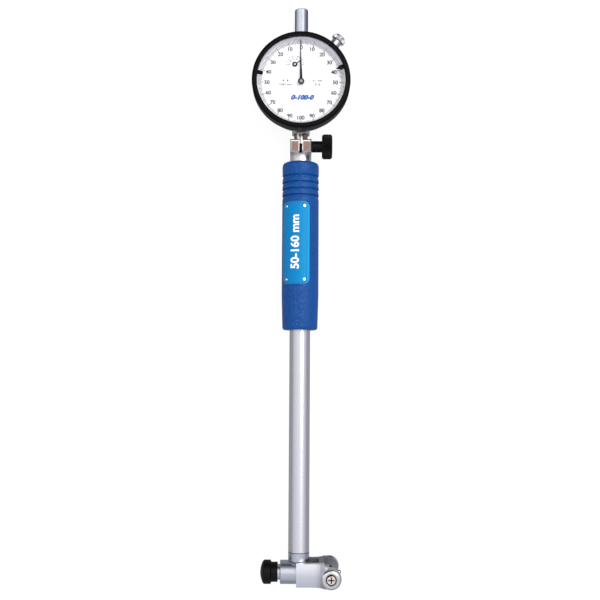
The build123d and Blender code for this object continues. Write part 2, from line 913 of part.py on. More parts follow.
# Lever with a toothed sector, an arm on the spindle's pin and its arbor
pitch_step = 360 / sector_teeth
rest_direction = lever_direction + lever_half_swing
nearest = round((rest_direction - sector_phase) / pitch_step)
numbers = range(nearest - sector_half_count, nearest + sector_half_count + 1)
rim_radius = sector_module * sector_teeth / 2 - dedendum * sector_module - sector_rim
rim_start = sector_phase + numbers[0] * pitch_step
rim_end = sector_phase + numbers[-1] * pitch_step
arm_direction = 180 + lever_half_swing
with BuildPart() as sector_lever:
    with BuildSketch(dial_plane(lever_z, lever_pivot)):
        with BuildLine():
            teeth_line = Polyline(
                tooth_corners(sector_module, sector_teeth, numbers, sector_phase, wheel_addendum)
            )
            inner_arc = ThreePointArc(
                around(rim_radius, rim_start),
                around(rim_radius, (rim_start + rim_end) / 2),
                around(rim_radius, rim_end),
            )
            Line(teeth_line @ 0, inner_arc @ 0)
            Line(teeth_line @ 1, inner_arc @ 1)
        make_face()
        Circle(lever_hub)
        with BuildLine():
            Polyline(
                around(lever_hub - spoke_root, rest_direction - 90),
                around(rim_radius + spoke_root, rest_direction - spoke_half_angle),
                around(rim_radius + spoke_root, rest_direction + spoke_half_angle),
                around(lever_hub - spoke_root, rest_direction + 90),
                close=True,
            )
        make_face()
        with BuildLine():
            Polyline(
                (0, 0),
                around(lever_arm_length, arm_direction),
                around(
                    sqrt(lever_arm_length**2 + lever_arm_width**2),
                    arm_direction - degrees(atan2(lever_arm_width, lever_arm_length)),
                ),
                around(lever_arm_width, arm_direction - 90),
                close=True,
            )
        make_face()
    extrude(amount=lever_thick)
    add(post(lever_pivot, centre_arbor_radius, arbor_back, front_plate_front))

# Hairspring round the counter arbor, and the stud that holds its outer end
spiral_steps = 18 * hairspring_turns
inner_side = []
outer_side = []
for step in range(spiral_steps + 1):
    share = step / spiral_steps
    reach = collet_radius + contact_gap + share * (hairspring_outer - collet_radius)
    angle = 360 * hairspring_turns * share
    inner_side.append(around(reach, angle))
    outer_side.append(around(reach + hairspring_wire, angle))
with BuildPart() as hairspring:
    with BuildSketch(dial_plane(hairspring_z, counter_centre)):
        with BuildLine():
            Polyline(inner_side + outer_side[::-1], close=True)
        make_face()
    extrude(amount=hairspring_height)
stud_centre = (
    counter_centre[0] + hairspring_outer + contact_gap + hairspring_wire + stud_radius,
    counter_centre[1],
)
with BuildPart() as hairspring_stud:
    add(post(stud_centre, stud_radius, hairspring_z, front_plate_z))

# Dial in two parts: a fixed disc on two feet, and a ring that turns with the bezel
with BuildPart() as dial_disc:
    add(post((0, 0), disc_radius, dial_z, dial_z + dial_thick))
    add(
        post((0, 0), centre_arbor_radius + arbor_hole_gap, dial_z, dial_z + dial_thick),
        mode=Mode.SUBTRACT,
    )
    add(
        post(counter_centre, arbor_radius + arbor_hole_gap, dial_z, dial_z + dial_thick),
        mode=Mode.SUBTRACT,
    )
    for angle in dial_foot_angles:
        add(post(around(dial_foot_reach, angle), dial_foot_radius, front_plate_front, dial_z))
with BuildPart() as dial_ring:
    add(
        turned(
            sleeve(disc_radius + ring_gap, ring_outer, dial_z, dial_z + dial_thick),
            DIAL_SECTION,
            DIAL_AXIS,
        )
    )

# Hands
with BuildPart() as main_hand:
    with BuildSketch(dial_plane(hand_z)):
        with BuildLine():
            Polyline(
                around(hand_root_width / 2, 180 - hand_turn),
                around(hand_root_width / 2, -hand_turn),
                around(hand_length, 90 - hand_turn - degrees(hand_tip_width / hand_length / 2)),
                around(hand_length, 90 - hand_turn + degrees(hand_tip_width / hand_length / 2)),
                close=True,
            )
        make_face()
        Circle(hand_hub_radius)
        Circle(hand_core_radius, mode=Mode.SUBTRACT)
    extrude(amount=hand_thick)
with BuildPart() as hand_hub:
    add(post((0, 0), hand_core_radius, hand_hub_back, hand_z + hand_thick))
    add(post((0, 0), hand_hub_radius, hand_z + hand_thick, hand_hub_front))
    add(
        post((0, 0), centre_arbor_radius, hand_hub_back, hand_hub_front - arbor_set_back),
        mode=Mode.SUBTRACT,
    )
with BuildPart() as counter_hand:
    with BuildSketch(dial_plane(counter_z, counter_centre)):
        with BuildLine():
            Polyline(
                around(counter_root_width / 2, 180 - counter_turn),
                around(counter_root_width / 2, -counter_turn),
                around(counter_length, 90 - counter_turn),
                close=True,
            )
        make_face()
        Circle(counter_hub_radius)
        Circle(arbor_radius, mode=Mode.SUBTRACT)
    extrude(amount=hand_thick)

# Bezel with its running bore, the seat of the dial ring, a spacer, the crystal and the lip
with BuildPart() as bezel:
    add(
        turned(
            [
                (bezel_bore, bezel_back),
                (bezel_radius - bezel_edge, bezel_back),
                (bezel_radius, bezel_back + bezel_edge),
                (bezel_radius, bezel_front - bezel_chamfer),
                (bezel_radius - bezel_chamfer, bezel_front),
                (bezel_opening + bezel_edge, bezel_front),
                (bezel_opening, bezel_front - bezel_edge),
                (bezel_opening, lip_back),
                (bezel_inner, lip_back),
                (bezel_inner, dial_z),
                (bezel_bore, dial_z),
            ],
            DIAL_SECTION,
            DIAL_AXIS,
        )
    )
    add(
        turned(
            sleeve(
                case_radius,
                bezel_bore + wire_groove_depth,
                wire_ring_z - wire_groove_depth,
                wire_ring_z + wire_groove_depth,
            ),
            DIAL_SECTION,
            DIAL_AXIS,
        ),
        mode=Mode.SUBTRACT,
    )
with BuildPart() as crystal:
    add(post((0, 0), bezel_inner - assembly_gap, crystal_back, crystal_front))
with BuildPart() as spacer_ring:
    add(
        turned(
            sleeve(spacer_inner, ring_outer, dial_z + dial_thick, crystal_back),
            DIAL_SECTION,
            DIAL_AXIS,
        )
    )
with BuildPart() as wire_ring:
    add(
        turned(
            sleeve(
                wire_ring_inner,
                wire_ring_outer,
                wire_ring_z - wire_ring_half,
                wire_ring_z + wire_ring_half,
            ),
            DIAL_SECTION,
            DIAL_AXIS,
        )
    )
    with BuildSketch(dial_plane(wire_ring_z - wire_ring_half)):
        with Locations(around(wire_ring_outer, lock_angle)):
            Circle(2 * shoe_half_width)
    extrude(amount=2 * wire_ring_half, mode=Mode.SUBTRACT)


def marker(turn, length, width, rounded):
    """A tolerance marker that lies on the crystal with its tail under the bezel's lip."""
    reach = bezel_opening - length
    seat = Plane(
        origin=(0, dial_y, crystal_front + assembly_gap),
        x_dir=(cos(radians(turn)), -sin(radians(turn)), 0),
        z_dir=(0, 0, 1),
    )
    with BuildPart() as pointer:
        with BuildSketch(seat):
            if rounded:
                with Locations((0, reach + width / 2)):
                    Circle(width / 2)
                with Locations((0, (reach + width / 2 + marker_outer) / 2)):
                    Rectangle(width, marker_outer - reach - width / 2)
            else:
                with BuildLine():
                    Polyline(
                        (0, reach),
                        (width / 2, reach + width),
                        (width / 2, marker_outer),
                        (-width / 2, marker_outer),
                        (-width / 2, reach + width),
                        close=True,
                    )
                make_face()
        extrude(amount=marker_thick)
    return pointer.part


with BuildPart() as left_marker:
    add(marker(left_marker_turn, left_marker_length, left_marker_width, True))
with BuildPart() as right_marker:
    add(marker(right_marker_turn, right_marker_length, right_marker_width, False))

# Clamp of the bezel: knob with its screw, and the shoe that it draws against the bezel
knob_start = lock_boss_outer + assembly_gap
knob_end = knob_start + lock_knob_length
with BuildPart() as lock_knob:
    add(
        turned(
            [
                (0, shoe_inner + assembly_gap),
                (lock_screw_radius, shoe_inner + assembly_gap),
                (lock_screw_radius, knob_start),
                (lock_knob_radius - lock_knob_edge, knob_start),
                (lock_knob_radius, knob_start + lock_knob_edge),
                (lock_knob_radius, knob_end - lock_cap_length - lock_knob_edge),
                (lock_knob_radius - lock_knob_edge, knob_end - lock_cap_length),
                (lock_cap_radius, knob_end - lock_cap_length),
                (lock_cap_radius, knob_end - lock_cap_round_length),
                (lock_cap_radius - lock_cap_round, knob_end),
                (0, knob_end),
            ],
            LOCK_SECTION,
            LOCK_AXIS,
        )
    )
with BuildPart() as lock_shoe:
    with BuildSketch(SHOE_SEAT.offset(shoe_back)):
        with Locations(((shoe_inner + shoe_outer) / 2, 0)):
            Rectangle(shoe_outer - shoe_inner, 2 * shoe_half_width)
    extrude(amount=shoe_front - shoe_back)
    add(
        turned(
            sleeve(0, lock_screw_radius + running_gap, shoe_inner, shoe_outer),
            LOCK_SECTION,
            LOCK_AXIS,
        ),
        mode=Mode.SUBTRACT,
    )

# Return spring between the post in the case and the spindle's bracket
spring_low = stem_top
spring_high = bracket_y - spring_post_radius
with BuildPart() as return_spring:
    add(
        coil(
            (0, spring_low + return_spring_wire / 2, -spring_offset),
            (0, 1, 0),
            spring_high - spring_low,
            spring_post_radius + contact_gap + return_spring_wire / 2,
            return_spring_wire,
            return_spring_turns,
        )
    )

# Push rod with its collar, guides and spring
with BuildPart() as push_rod:
    add(
        turned(
            [
                (0, rod_bottom),
                (rod_tip_radius, rod_bottom),
                (rod_tip_radius, rod_bottom + rod_tip_length),
                (rod_radius, rod_bottom + rod_tip_length),
                (rod_radius, rod_collar_y),
                (rod_collar_radius, rod_collar_y),
                (rod_collar_radius, rod_collar_y + rod_collar_height),
                (rod_radius, rod_collar_y + rod_collar_height),
                (rod_radius, rod_top),
                (0, rod_top),
            ]
        )
    )
with BuildPart() as lower_guide:
    add(
        turned(sleeve(rod_radius + running_gap, tube_bore, lower_guide_y, lower_guide_y + guide_length))
    )
with BuildPart() as upper_guide:
    add(
        turned(sleeve(rod_radius + running_gap, tube_bore, upper_guide_y, upper_guide_y + guide_length))
    )
with BuildPart() as rod_spring:
    add(
        coil(
            (0, rod_collar_y + rod_collar_height + rod_spring_wire / 2, 0),
            (0, 1, 0),
            upper_guide_y - rod_collar_y - rod_collar_height,
            rod_collar_radius - rod_spring_wire,
            rod_spring_wire,
            rod_spring_turns,
        )
    )

# Head body: collar and spigot, horizontal cylinder, threaded stub and the bridge's barrel
cavity_low = -crank_tip - crank_tip_room
cavity_high = crank_arm + crank_hub + crank_hub_room
plunger_room_left = plunger_head_x - measuring_travel - plunger_end_room
with BuildPart() as head_body:
    add(
        turned(
            [
                (0, collar_bottom),
                (tube_radius - collar_rim, collar_bottom),
                (tube_radius, collar_bottom + collar_rim),
                (tube_radius, tube_bottom),
                (tube_bore - assembly_gap, tube_bottom),
                (tube_bore - assembly_gap, spigot_top),
                (0, spigot_top),
            ]
        )
    )
    add(
        turned(
            [
                (stub_left, 0),
                (stub_left, stub_radius),
                (head_left, stub_radius),
                (head_left, head_radius - head_edge),
                (head_left + head_edge, head_radius),
                (head_right, head_radius),
                (head_right, barrel_radius),
                (barrel_right, barrel_radius),
                (barrel_right, 0),
            ],
            Plane.XY,
            Axis.X,
        )
    )
    add(turned(sleeve(0, rod_radius + running_gap, 0, spigot_top)), mode=Mode.SUBTRACT)
    with BuildSketch(Plane.XY.offset(-crank_cavity)):
        with Locations(((cavity_low + cavity_high) / 2, (cavity_low + cavity_high) / 2)):
            Rectangle(cavity_high - cavity_low, cavity_high - cavity_low)
    extrude(amount=2 * crank_cavity, mode=Mode.SUBTRACT)
    add(
        turned(
            [
                (stub_left, 0),
                (stub_left, socket_radius),
                (socket_right, socket_radius),
                (socket_right, 0),
            ],
            Plane.XY,
            Axis.X,
        ),
        mode=Mode.SUBTRACT,
    )
    add(
        turned(
            [
                (crank_arm, 0),
                (crank_arm, plunger_nose_radius + plunger_nose_room),
                (plunger_room_left, plunger_nose_radius + plunger_nose_room),
                (plunger_room_left, plunger_radius + running_gap),
                (plunger_shoulder_x + assembly_gap, plunger_radius + running_gap),
                (plunger_shoulder_x + assembly_gap, nose_bush_radius),
                (barrel_right, nose_bush_radius),
                (barrel_right, 0),
            ],
            Plane.XY,
            Axis.X,
        ),
        mode=Mode.SUBTRACT,
    )
    with BuildSketch(Plane.XY.offset(-crank_pin_half)):
        with Locations((crank_arm, crank_arm)):
            Circle(crank_pin_radius)
    extrude(amount=2 * crank_pin_half, mode=Mode.SUBTRACT)
    with BuildSketch(Plane.XZ.offset(barrel_radius - stop_groove_depth)):
        with Locations((stop_screw_x - bridge_travel / 2, 0)):
            SlotOverall(
                bridge_travel + 2 * stop_screw_radius + 4 * running_gap,
                2 * stop_screw_radius + 2 * running_gap,
            )
    extrude(amount=2 * stop_groove_depth, mode=Mode.SUBTRACT)

# Bell crank on its pin: one arm under the push rod, one arm behind the measuring contact
with BuildPart() as bell_crank:
    with BuildSketch(Plane(origin=(crank_arm, crank_arm, -crank_thick / 2))):
        Circle(crank_hub)
        for direction in (180 + crank_half_swing, 270 + crank_half_swing):
            tip = around(crank_arm, direction)
            with Locations(tip):
                Circle(crank_tip)
            side = around(crank_half_width, direction + 90)
            with BuildLine():
                Polyline(
                    side,
                    (side[0] + tip[0], side[1] + tip[1]),
                    (tip[0] - side[0], tip[1] - side[1]),
                    (-side[0], -side[1]),
                    close=True,
                )
            make_face()
        Circle(crank_pin_radius + pivot_gap / 2, mode=Mode.SUBTRACT)
    extrude(amount=crank_thick)
with BuildPart() as crank_pin:
    with BuildSketch(Plane.XY.offset(-crank_pin_half)):
        with Locations((crank_arm, crank_arm)):
            Circle(crank_pin_radius)
    extrude(amount=2 * crank_pin_half)

# Measuring contact: plunger, shoulder and a rounded tip
with BuildPart() as measuring_contact:
    with BuildSketch(Plane.XY):
        with BuildLine():
            body_line = Polyline(
                (contact_reach, 0),
                (plunger_left, 0),
                (plunger_left, plunger_nose_radius),
                (plunger_head_x, plunger_nose_radius),
                (plunger_head_x, plunger_radius),
                (plunger_shoulder_x, plunger_radius),
                (plunger_shoulder_x, contact_radius),
                (contact_reach - contact_radius, contact_radius),
            )
            RadiusArc(body_line @ 1, body_line @ 0, contact_radius)
        make_face()
    revolve(axis=Axis.X)
with BuildPart() as nose_bush:
    add(
        turned(
            [
                (plunger_shoulder_x + assembly_gap, contact_radius + running_gap),
                (plunger_shoulder_x + assembly_gap, nose_bush_radius),
                (barrel_right, nose_bush_radius),
                (barrel_right, contact_radius + running_gap),
            ],
            Plane.XY,
            Axis.X,
        )
    )

# Black cap nut on the stub
dome_half = (nut_radius - nut_chamfer) / 2
dome_height = nut_left - nut_dome_left
dome_radius = ((2 * dome_half) ** 2 + dome_height**2) / (2 * dome_height)
dome_middle_x = nut_dome_left + dome_radius - sqrt(dome_radius**2 - dome_half**2)
with BuildPart() as anvil_nut:
    with BuildSketch(Plane.XY):
        with BuildLine():
            nut_line = Polyline(
                (nut_dome_left, 0),
                (stub_left - nut_end_gap, 0),
                (stub_left - nut_end_gap, stub_radius + running_gap),
                (nut_right, stub_radius + running_gap),
                (nut_right, nut_neck_radius),
                (nut_step_x, nut_neck_radius),
                (nut_step_x - nut_chamfer, nut_radius),
                (nut_left + nut_chamfer, nut_radius),
                (nut_left, nut_radius - nut_chamfer),
            )
            ThreePointArc(nut_line @ 1, (dome_middle_x, dome_half), nut_line @ 0)
        make_face()
    revolve(axis=Axis.X)

# Bridge: a fork round the head cylinder, with flared arms that carry the rollers
with BuildPart() as centring_bridge:
    with BuildSketch(Plane.XZ.offset(-bridge_half_height)):
        for side in (1, -1):
            with BuildLine():
                straight = Line(
                    (bridge_left, side * bridge_half_depth), (bridge_flare_x, side * bridge_half_depth)
                )
                flare = TangentArc(
                    straight @ 1, (bridge_cross_right, side * arm_outer_z), tangent=(1, 0)
                )
                Polyline(
                    flare @ 1,
                    (roller_x + arm_round, side * arm_outer_z),
                    (roller_x + arm_round, side * arm_inner_z),
                    (bridge_cross_right, side * arm_inner_z),
                    (bridge_cross_right, 0),
                    (bridge_cross_left, 0),
                    (bridge_cross_left, side * bridge_inner_depth),
                    (bridge_left, side * bridge_inner_depth),
                    straight @ 0,
                )
            make_face()
    extrude(amount=2 * bridge_half_height)
    with BuildSketch(Plane.XY.offset(-arm_outer_z)):
        with BuildLine():
            Polyline(
                (bridge_left, bridge_half_height),
                (bridge_cross_right - arm_shoulder, bridge_half_height),
                (roller_x, arm_round),
                (roller_x, -arm_round),
                (bridge_cross_right - arm_shoulder, -bridge_half_height),
                (bridge_left, -bridge_half_height),
                close=True,
            )
        make_face()
        with Locations((roller_x, 0)):
            Circle(arm_round)
    extrude(amount=2 * arm_outer_z, mode=Mode.INTERSECT)
    with BuildSketch(Plane.YZ.offset(bridge_cross_left)):
        Circle(barrel_radius + running_gap)
    extrude(amount=bridge_cross_right - bridge_cross_left, mode=Mode.SUBTRACT)
    with BuildSketch(Plane.XZ.offset(barrel_radius - stop_groove_depth / 2)):
        with Locations((stop_screw_x, 0)):
            Circle(stop_screw_radius)
    extrude(amount=bridge_half_height, mode=Mode.SUBTRACT)
    add(
        turned(
            sleeve(0, roller_screw_radius, -arm_outer_z, arm_outer_z), ROLLER_SECTION, ROLLER_AXIS
        ),
        mode=Mode.SUBTRACT,
    )
with BuildPart() as bridge_stop:
    with BuildSketch(Plane.XZ.offset(barrel_radius - stop_groove_depth + running_gap)):
        with Locations((stop_screw_x, 0)):
            Circle(stop_screw_radius)
    extrude(amount=bridge_half_height - barrel_radius + stop_groove_depth - 2 * running_gap)
with BuildPart() as bridge_spring:
    add(
        coil(
            (head_right + bridge_spring_wire / 2, 0, 0),
            (1, 0, 0),
            bridge_cross_left - head_right,
            bridge_spring_radius,
            bridge_spring_wire,
            bridge_spring_turns,
        )
    )


def roller(side):
    """A roller with a recess for its screw's head."""
    back = arm_outer_z + running_gap * 2
    face = roller_outer_z
    corners = [
        (roller_screw_radius + pivot_gap, back),
        (roller_radius - roller_round, back),
        (roller_radius, back + roller_round),
        (roller_radius, face - roller_round),
        (roller_radius - roller_round, face),
        (roller_recess_radius, face),
        (roller_recess_radius, face - roller_recess_depth),
        (roller_screw_radius + pivot_gap, face - roller_recess_depth),
    ]
    return turned([(r, side * z) for r, z in corners], ROLLER_SECTION, ROLLER_AXIS)


def roller_screw(side):
    """A screw through the roller into the arm, with a domed head and a cross recess."""
    seat = roller_outer_z - roller_recess_depth + running_gap
    top = roller_screw_head_outer
    corners = [
        (0, arm_inner_z),
        (roller_screw_radius, arm_inner_z),
        (roller_screw_radius, seat),
        (roller_screw_head, seat),
        (roller_screw_head, top - roller_head_round_height),
        (roller_screw_head - roller_head_round, top),
        (0, top),
    ]
    with BuildPart() as screw:
        add(turned([(r, side * z) for r, z in corners], ROLLER_SECTION, ROLLER_AXIS))
        with BuildSketch(Plane(origin=(roller_x, 0, side * top), z_dir=(0, 0, side))):
            Rectangle(recess_length, recess_width)
            Rectangle(recess_width, recess_length)
        extrude(amount=-recess_depth, mode=Mode.SUBTRACT)
    return screw.part


with BuildPart() as front_roller:
    add(roller(1))
with BuildPart() as rear_roller:
    add(roller(-1))
with BuildPart() as roller_screws:
    add(roller_screw(1))
    add(roller_screw(-1))

pieces = {
    "main_tube": main_tube,
    "handle_grip": handle_grip,
    "label_plate": label_plate,
    "label_rivets": label_rivets,
    "clamp_sleeve": clamp_sleeve,
    "clamp_screw": clamp_screw,
    "indicator_stem": indicator_stem,
    "lower_bush": lower_bush,
    "middle_bush": middle_bush,
    "upper_bush": upper_bush,
    "indicator_case": indicator_case,
    "rear_cover": rear_cover,
    "cover_screws": cover_screws,
    "spindle": spindle,
    "contact_tip": contact_tip,
    "top_cap": top_cap,
    "return_spring": return_spring,
    "rear_plate": rear_plate,
    "front_plate": front_plate,
    "pillars": pillars,
    "plate_screws": plate_screws,
    "pillar_screws": pillar_screws,
    "centre_arbor": centre_arbor,
    "intermediate_wheel": intermediate_wheel,
    "intermediate_pinion": intermediate_pinion,
    "counter_wheel": counter_wheel,
    "counter_arbor": counter_arbor,
    "sector_lever": sector_lever,
    "hairspring": hairspring,
    "hairspring_stud": hairspring_stud,
    "dial_disc": dial_disc,
    "dial_ring": dial_ring,
    "main_hand": main_hand,
    "hand_hub": hand_hub,
    "counter_hand": counter_hand,
    "bezel": bezel,
    "crystal": crystal,
    "spacer_ring": spacer_ring,
    "wire_ring": wire_ring,
    "left_marker": left_marker,
    "right_marker": right_marker,
    "lock_knob": lock_knob,
    "lock_shoe": lock_shoe,
    "push_rod": push_rod,
    "lower_guide": lower_guide,
    "upper_guide": upper_guide,
    "rod_spring": rod_spring,
    "head_body": head_body,
    "bell_crank": bell_crank,
    "crank_pin": crank_pin,
    "measuring_contact": measuring_contact,
    "nose_bush": nose_bush,
    "anvil_nut": anvil_nut,
    "centring_bridge": centring_bridge,
    "bridge_stop": bridge_stop,
    "bridge_spring": bridge_spring,
    "front_roller": front_roller,
    "rear_roller": rear_roller,
    "roller_screws": roller_screws,
}

# The gauge lies on its back: on the rear roller's screw and on the rim of the rear cover
screw_rest = (roller_screw_head, -roller_screw_head_outer)
cover_rest = (dial_y - cover_radius, cover_back)
lying_tilt = degrees(atan2(cover_rest[1] - screw_rest[1], cover_rest[0] - screw_rest[0]))
tilted = Rotation(-lying_tilt, 0, 0)
box = Compound(children=[tilted * block.part for block in pieces.values()]).bounding_box()
lying = Pos(-box.center().X, -box.center().Y, -box.min.Z) * tilted

os.makedirs("parts", exist_ok=True)
for name, block in pieces.items():
    piece = lying * block.part
    piece.label = name
    export_step(piece, f"parts/{name}.step")
print("lying tilt", round(lying_tilt, 3), "size", box.size)
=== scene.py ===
import bmesh
import bpy
import json
from math import cos, pi, radians, sin, tan
from mathutils import Matrix, Vector

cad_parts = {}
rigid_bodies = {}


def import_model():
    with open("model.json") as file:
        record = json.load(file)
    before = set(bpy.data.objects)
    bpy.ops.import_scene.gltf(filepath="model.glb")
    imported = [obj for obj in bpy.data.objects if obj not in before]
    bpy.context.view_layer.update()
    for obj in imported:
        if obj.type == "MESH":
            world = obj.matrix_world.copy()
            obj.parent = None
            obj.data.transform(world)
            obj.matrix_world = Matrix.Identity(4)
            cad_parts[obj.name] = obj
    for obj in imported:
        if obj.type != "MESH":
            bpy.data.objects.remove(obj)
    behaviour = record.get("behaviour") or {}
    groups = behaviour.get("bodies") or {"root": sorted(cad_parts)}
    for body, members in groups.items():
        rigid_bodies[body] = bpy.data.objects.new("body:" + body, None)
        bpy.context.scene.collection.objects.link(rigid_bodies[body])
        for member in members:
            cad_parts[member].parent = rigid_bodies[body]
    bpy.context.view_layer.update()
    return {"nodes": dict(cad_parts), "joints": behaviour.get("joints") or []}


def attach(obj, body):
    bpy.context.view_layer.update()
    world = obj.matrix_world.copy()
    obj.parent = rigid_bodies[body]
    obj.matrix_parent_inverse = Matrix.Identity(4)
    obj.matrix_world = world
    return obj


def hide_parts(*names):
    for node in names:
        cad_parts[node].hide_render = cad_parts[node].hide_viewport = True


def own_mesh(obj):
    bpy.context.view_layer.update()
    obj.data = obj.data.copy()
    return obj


# A dial bore gauge, dressed piece by piece as it is put together, from the tube up to the
# dial and then down to the measuring head.

for start_object in list(bpy.data.objects):
    bpy.data.objects.remove(start_object)
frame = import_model()
nodes = frame["nodes"]

# The gauge lies on its back, a little tilted. Every section is written in the gauge's own
# frame: millimetres, X to the right, Y up the tube and Z out of the dial, from the point
# where the measuring axis meets the tube's axis.
dial_height = 283.2
dial_back = 8.1
bezel_joint = next(joint for joint in frame["joints"] if joint["name"] == "bezel_turn")
out_of_dial = Vector(bezel_joint["axis"])
to_the_right = Vector((1, 0, 0))
up_the_tube = out_of_dial.cross(to_the_right)
gauge_turn = Matrix((to_the_right, up_the_tube, out_of_dial)).transposed()
gauge_origin = Vector(bezel_joint["pos_m"]) - 0.001 * (dial_height * up_the_tube + dial_back * out_of_dial)
gauge = Matrix.Translation(gauge_origin) @ gauge_turn.to_4x4() @ Matrix.Scale(0.001, 4)


# Main tube
# A drawn steel tube, ground between centres and satin chromed, pressed on the head's
# collar. Fine grinding lines run round it, and the joint shows as a thin dark line.
def linear(colour):
    """An sRGB hex colour as the linear values that a shader takes."""
    parts = [int(colour[at:at + 2], 16) / 255 for at in (1, 3, 5)]
    return [c / 12.92 if c <= 0.04045 else ((c + 0.055) / 1.055) ** 2.4 for c in parts] + [1.0]


def add(tree, kind, sockets=None, **settings):
    """Adds a node with its settings. A socket takes a value, or the output that feeds it."""
    node = tree.nodes.new(kind)
    for name, value in settings.items():
        setattr(node, name, value)
    for key, value in (sockets or {}).items():
        if isinstance(value, bpy.types.NodeSocket):
            tree.links.new(value, node.inputs[key])
        else:
            node.inputs[key].default_value = value
    return node


def stops(node, places):
    """Sets a colour ramp to (place, hex colour) stops."""
    ramp = node.color_ramp
    while len(ramp.elements) > 1:
        ramp.elements.remove(ramp.elements[-1])
    ramp.elements[0].position = places[0][0]
    ramp.elements[0].color = linear(places[0][1])
    for place, colour in places[1:]:
        ramp.elements.new(place).color = linear(colour)
    return node.outputs["Color"]


def new_material(name, colour, metallic, roughness, **sockets):
    """A material with its shader, and the gauge's own coordinates in millimetres."""
    material = bpy.data.materials.new(name)
    material.use_nodes = True
    tree = material.node_tree
    shader = tree.nodes["Principled BSDF"]
    shader.inputs["Base Color"].default_value = linear(colour)
    shader.inputs["Metallic"].default_value = metallic
    shader.inputs["Roughness"].default_value = roughness
    for key, value in sockets.items():
        shader.inputs[key.replace("_", " ")].default_value = value
    back = gauge.inverted()
    place = add(tree, "ShaderNodeTexCoord").outputs["Object"]
    in_gauge = add(tree, "ShaderNodeMapping", {
        "Vector": place, "Location": back.translation, "Scale": (1000, 1000, 1000),
        "Rotation": gauge_turn.transposed().to_euler()}, vector_type="POINT")
    return material, tree, shader, in_gauge.outputs["Vector"]


def lined(tree, shader, place, pitch, depth, spread=0.05):
    """Tool marks: noise drawn out along two axes, as bump and as a change of gloss.
    Pitch gives the lines per millimetre along each axis."""
    lines = add(tree, "ShaderNodeVectorMath", {0: place, 1: pitch}, operation="MULTIPLY")
    marks = add(tree, "ShaderNodeTexNoise", {
        "Vector": lines.outputs["Vector"], "Scale": 1.0, "Detail": 3.0, "Roughness": 0.6})
    low = shader.inputs["Roughness"].default_value
    gloss = add(tree, "ShaderNodeMapRange", {
        "Value": marks.outputs["Fac"], "From Min": 0.3, "From Max": 0.7,
        "To Min": low - spread, "To Max": low + spread})
    tree.links.new(gloss.outputs["Result"], shader.inputs["Roughness"])
    relief = add(tree, "ShaderNodeBump", {
        "Height": marks.outputs["Fac"], "Strength": 1.0, "Distance": depth * 0.001})
    tree.links.new(relief.outputs["Normal"], shader.inputs["Normal"])
    return marks.outputs["Fac"]


def tint_along(tree, place, axis, low, high, places):
    """A colour that changes along one axis of the gauge, from low to high in millimetres."""
    parts = add(tree, "ShaderNodeSeparateXYZ", {"Vector": place})
    share = add(tree, "ShaderNodeMapRange", {
        "Value": parts.outputs[axis], "From Min": low, "From Max": high})
    return stops(add(tree, "ShaderNodeValToRGB", {"Fac": share.outputs["Result"]}), places)


def drawn_along(tree, shader):
    """Turns the blur of a metal round the tube's axis, so that highlights run along it."""
    around = add(tree, "ShaderNodeTangent", direction_type="RADIAL", axis="Y")
    tree.links.new(around.outputs["Tangent"], shader.inputs["Tangent"])


def paint(node_name, material):
    """Gives a CAD piece its material."""
    slots = nodes[node_name].data.materials
    slots.clear()
    slots.append(material)


tube_foot = 11.0
# Satin chrome on ground steel: bright and a little blue, blurred along the tube.
satin_chrome, tree, shader, place = new_material(
    "satin_chromed_steel", "#dcdde3", 1.0, 0.3, Anisotropic=0.7, Anisotropic_Rotation=0.25)
drawn_along(tree, shader)
lined(tree, shader, place, (0.15, 6.0, 0.15), 0.0025, 0.03)
joint_tint = tint_along(tree, place, "Y", tube_foot + 0.3, tube_foot + 0.5,
                        [(0.0, "#2a2a30"), (1.0, "#dcdde3")])
tree.links.new(joint_tint, shader.inputs["Base Color"])
paint("main_tube", satin_chrome)


# Handle grip
# An injection moulded ABS grip, pebbled in the mould, with four stepped rings under its
# rounded top and a gentle taper at its foot. It is pushed over the tube.
def eased(corners, steps=4):
    """A profile whose corners (radius, height, rounding) are rounded where they say so."""
    line = []
    count = len(corners)
    for number, corner in enumerate(corners):
        here = Vector(corner[:2])
        rounding = corner[2] if len(corner) > 2 else 0
        before = Vector(corners[number - 1][:2]) - here
        after = Vector(corners[(number + 1) % count][:2]) - here
        if not rounding or not before.length or not after.length:
            line.append(tuple(here))
            continue
        half = before.angle(after) / 2
        reach = min(rounding / tan(half), 0.48 * before.length, 0.48 * after.length)
        start = here + before.normalized() * reach
        end = here + after.normalized() * reach
        for step in range(steps + 1):
            t = step / steps
            line.append(tuple((1 - t) ** 2 * start + 2 * t * (1 - t) * here + t * t * end))
    return line


def smoothed(mesh, crease=35):
    """Smooth faces, with edges kept sharp where the surface turns by more than the crease."""
    mesh.shade_smooth()
    mesh.set_sharp_from_angle(angle=radians(crease))
    return mesh


def turned(name, profile, segments):
    """A turned form: the profile's (radius, height) points spun round local Z."""
    form = bmesh.new()
    rings = []
    for radius, height in profile:
        if radius < 1e-6:
            rings.append([form.verts.new((0, 0, height))] * segments)
        else:
            turns = [2 * pi * step / segments for step in range(segments)]
            rings.append([form.verts.new((radius * cos(a), radius * sin(a), height)) for a in turns])
    pairs = list(zip(rings, rings[1:]))
    if profile[0][0] > 1e-6 and profile[-1][0] > 1e-6:
        pairs.append((rings[-1], rings[0]))
    for low, high in pairs:
        for step in range(segments):
            beside = (step + 1) % segments
            corners = [low[step], low[beside], high[beside], high[step]]
            form.faces.new(sorted(set(corners), key=corners.index))
    bmesh.ops.recalc_face_normals(form, faces=form.faces)
    mesh = bpy.data.meshes.new(name)
    form.to_mesh(mesh)
    form.free()
    return smoothed(mesh)


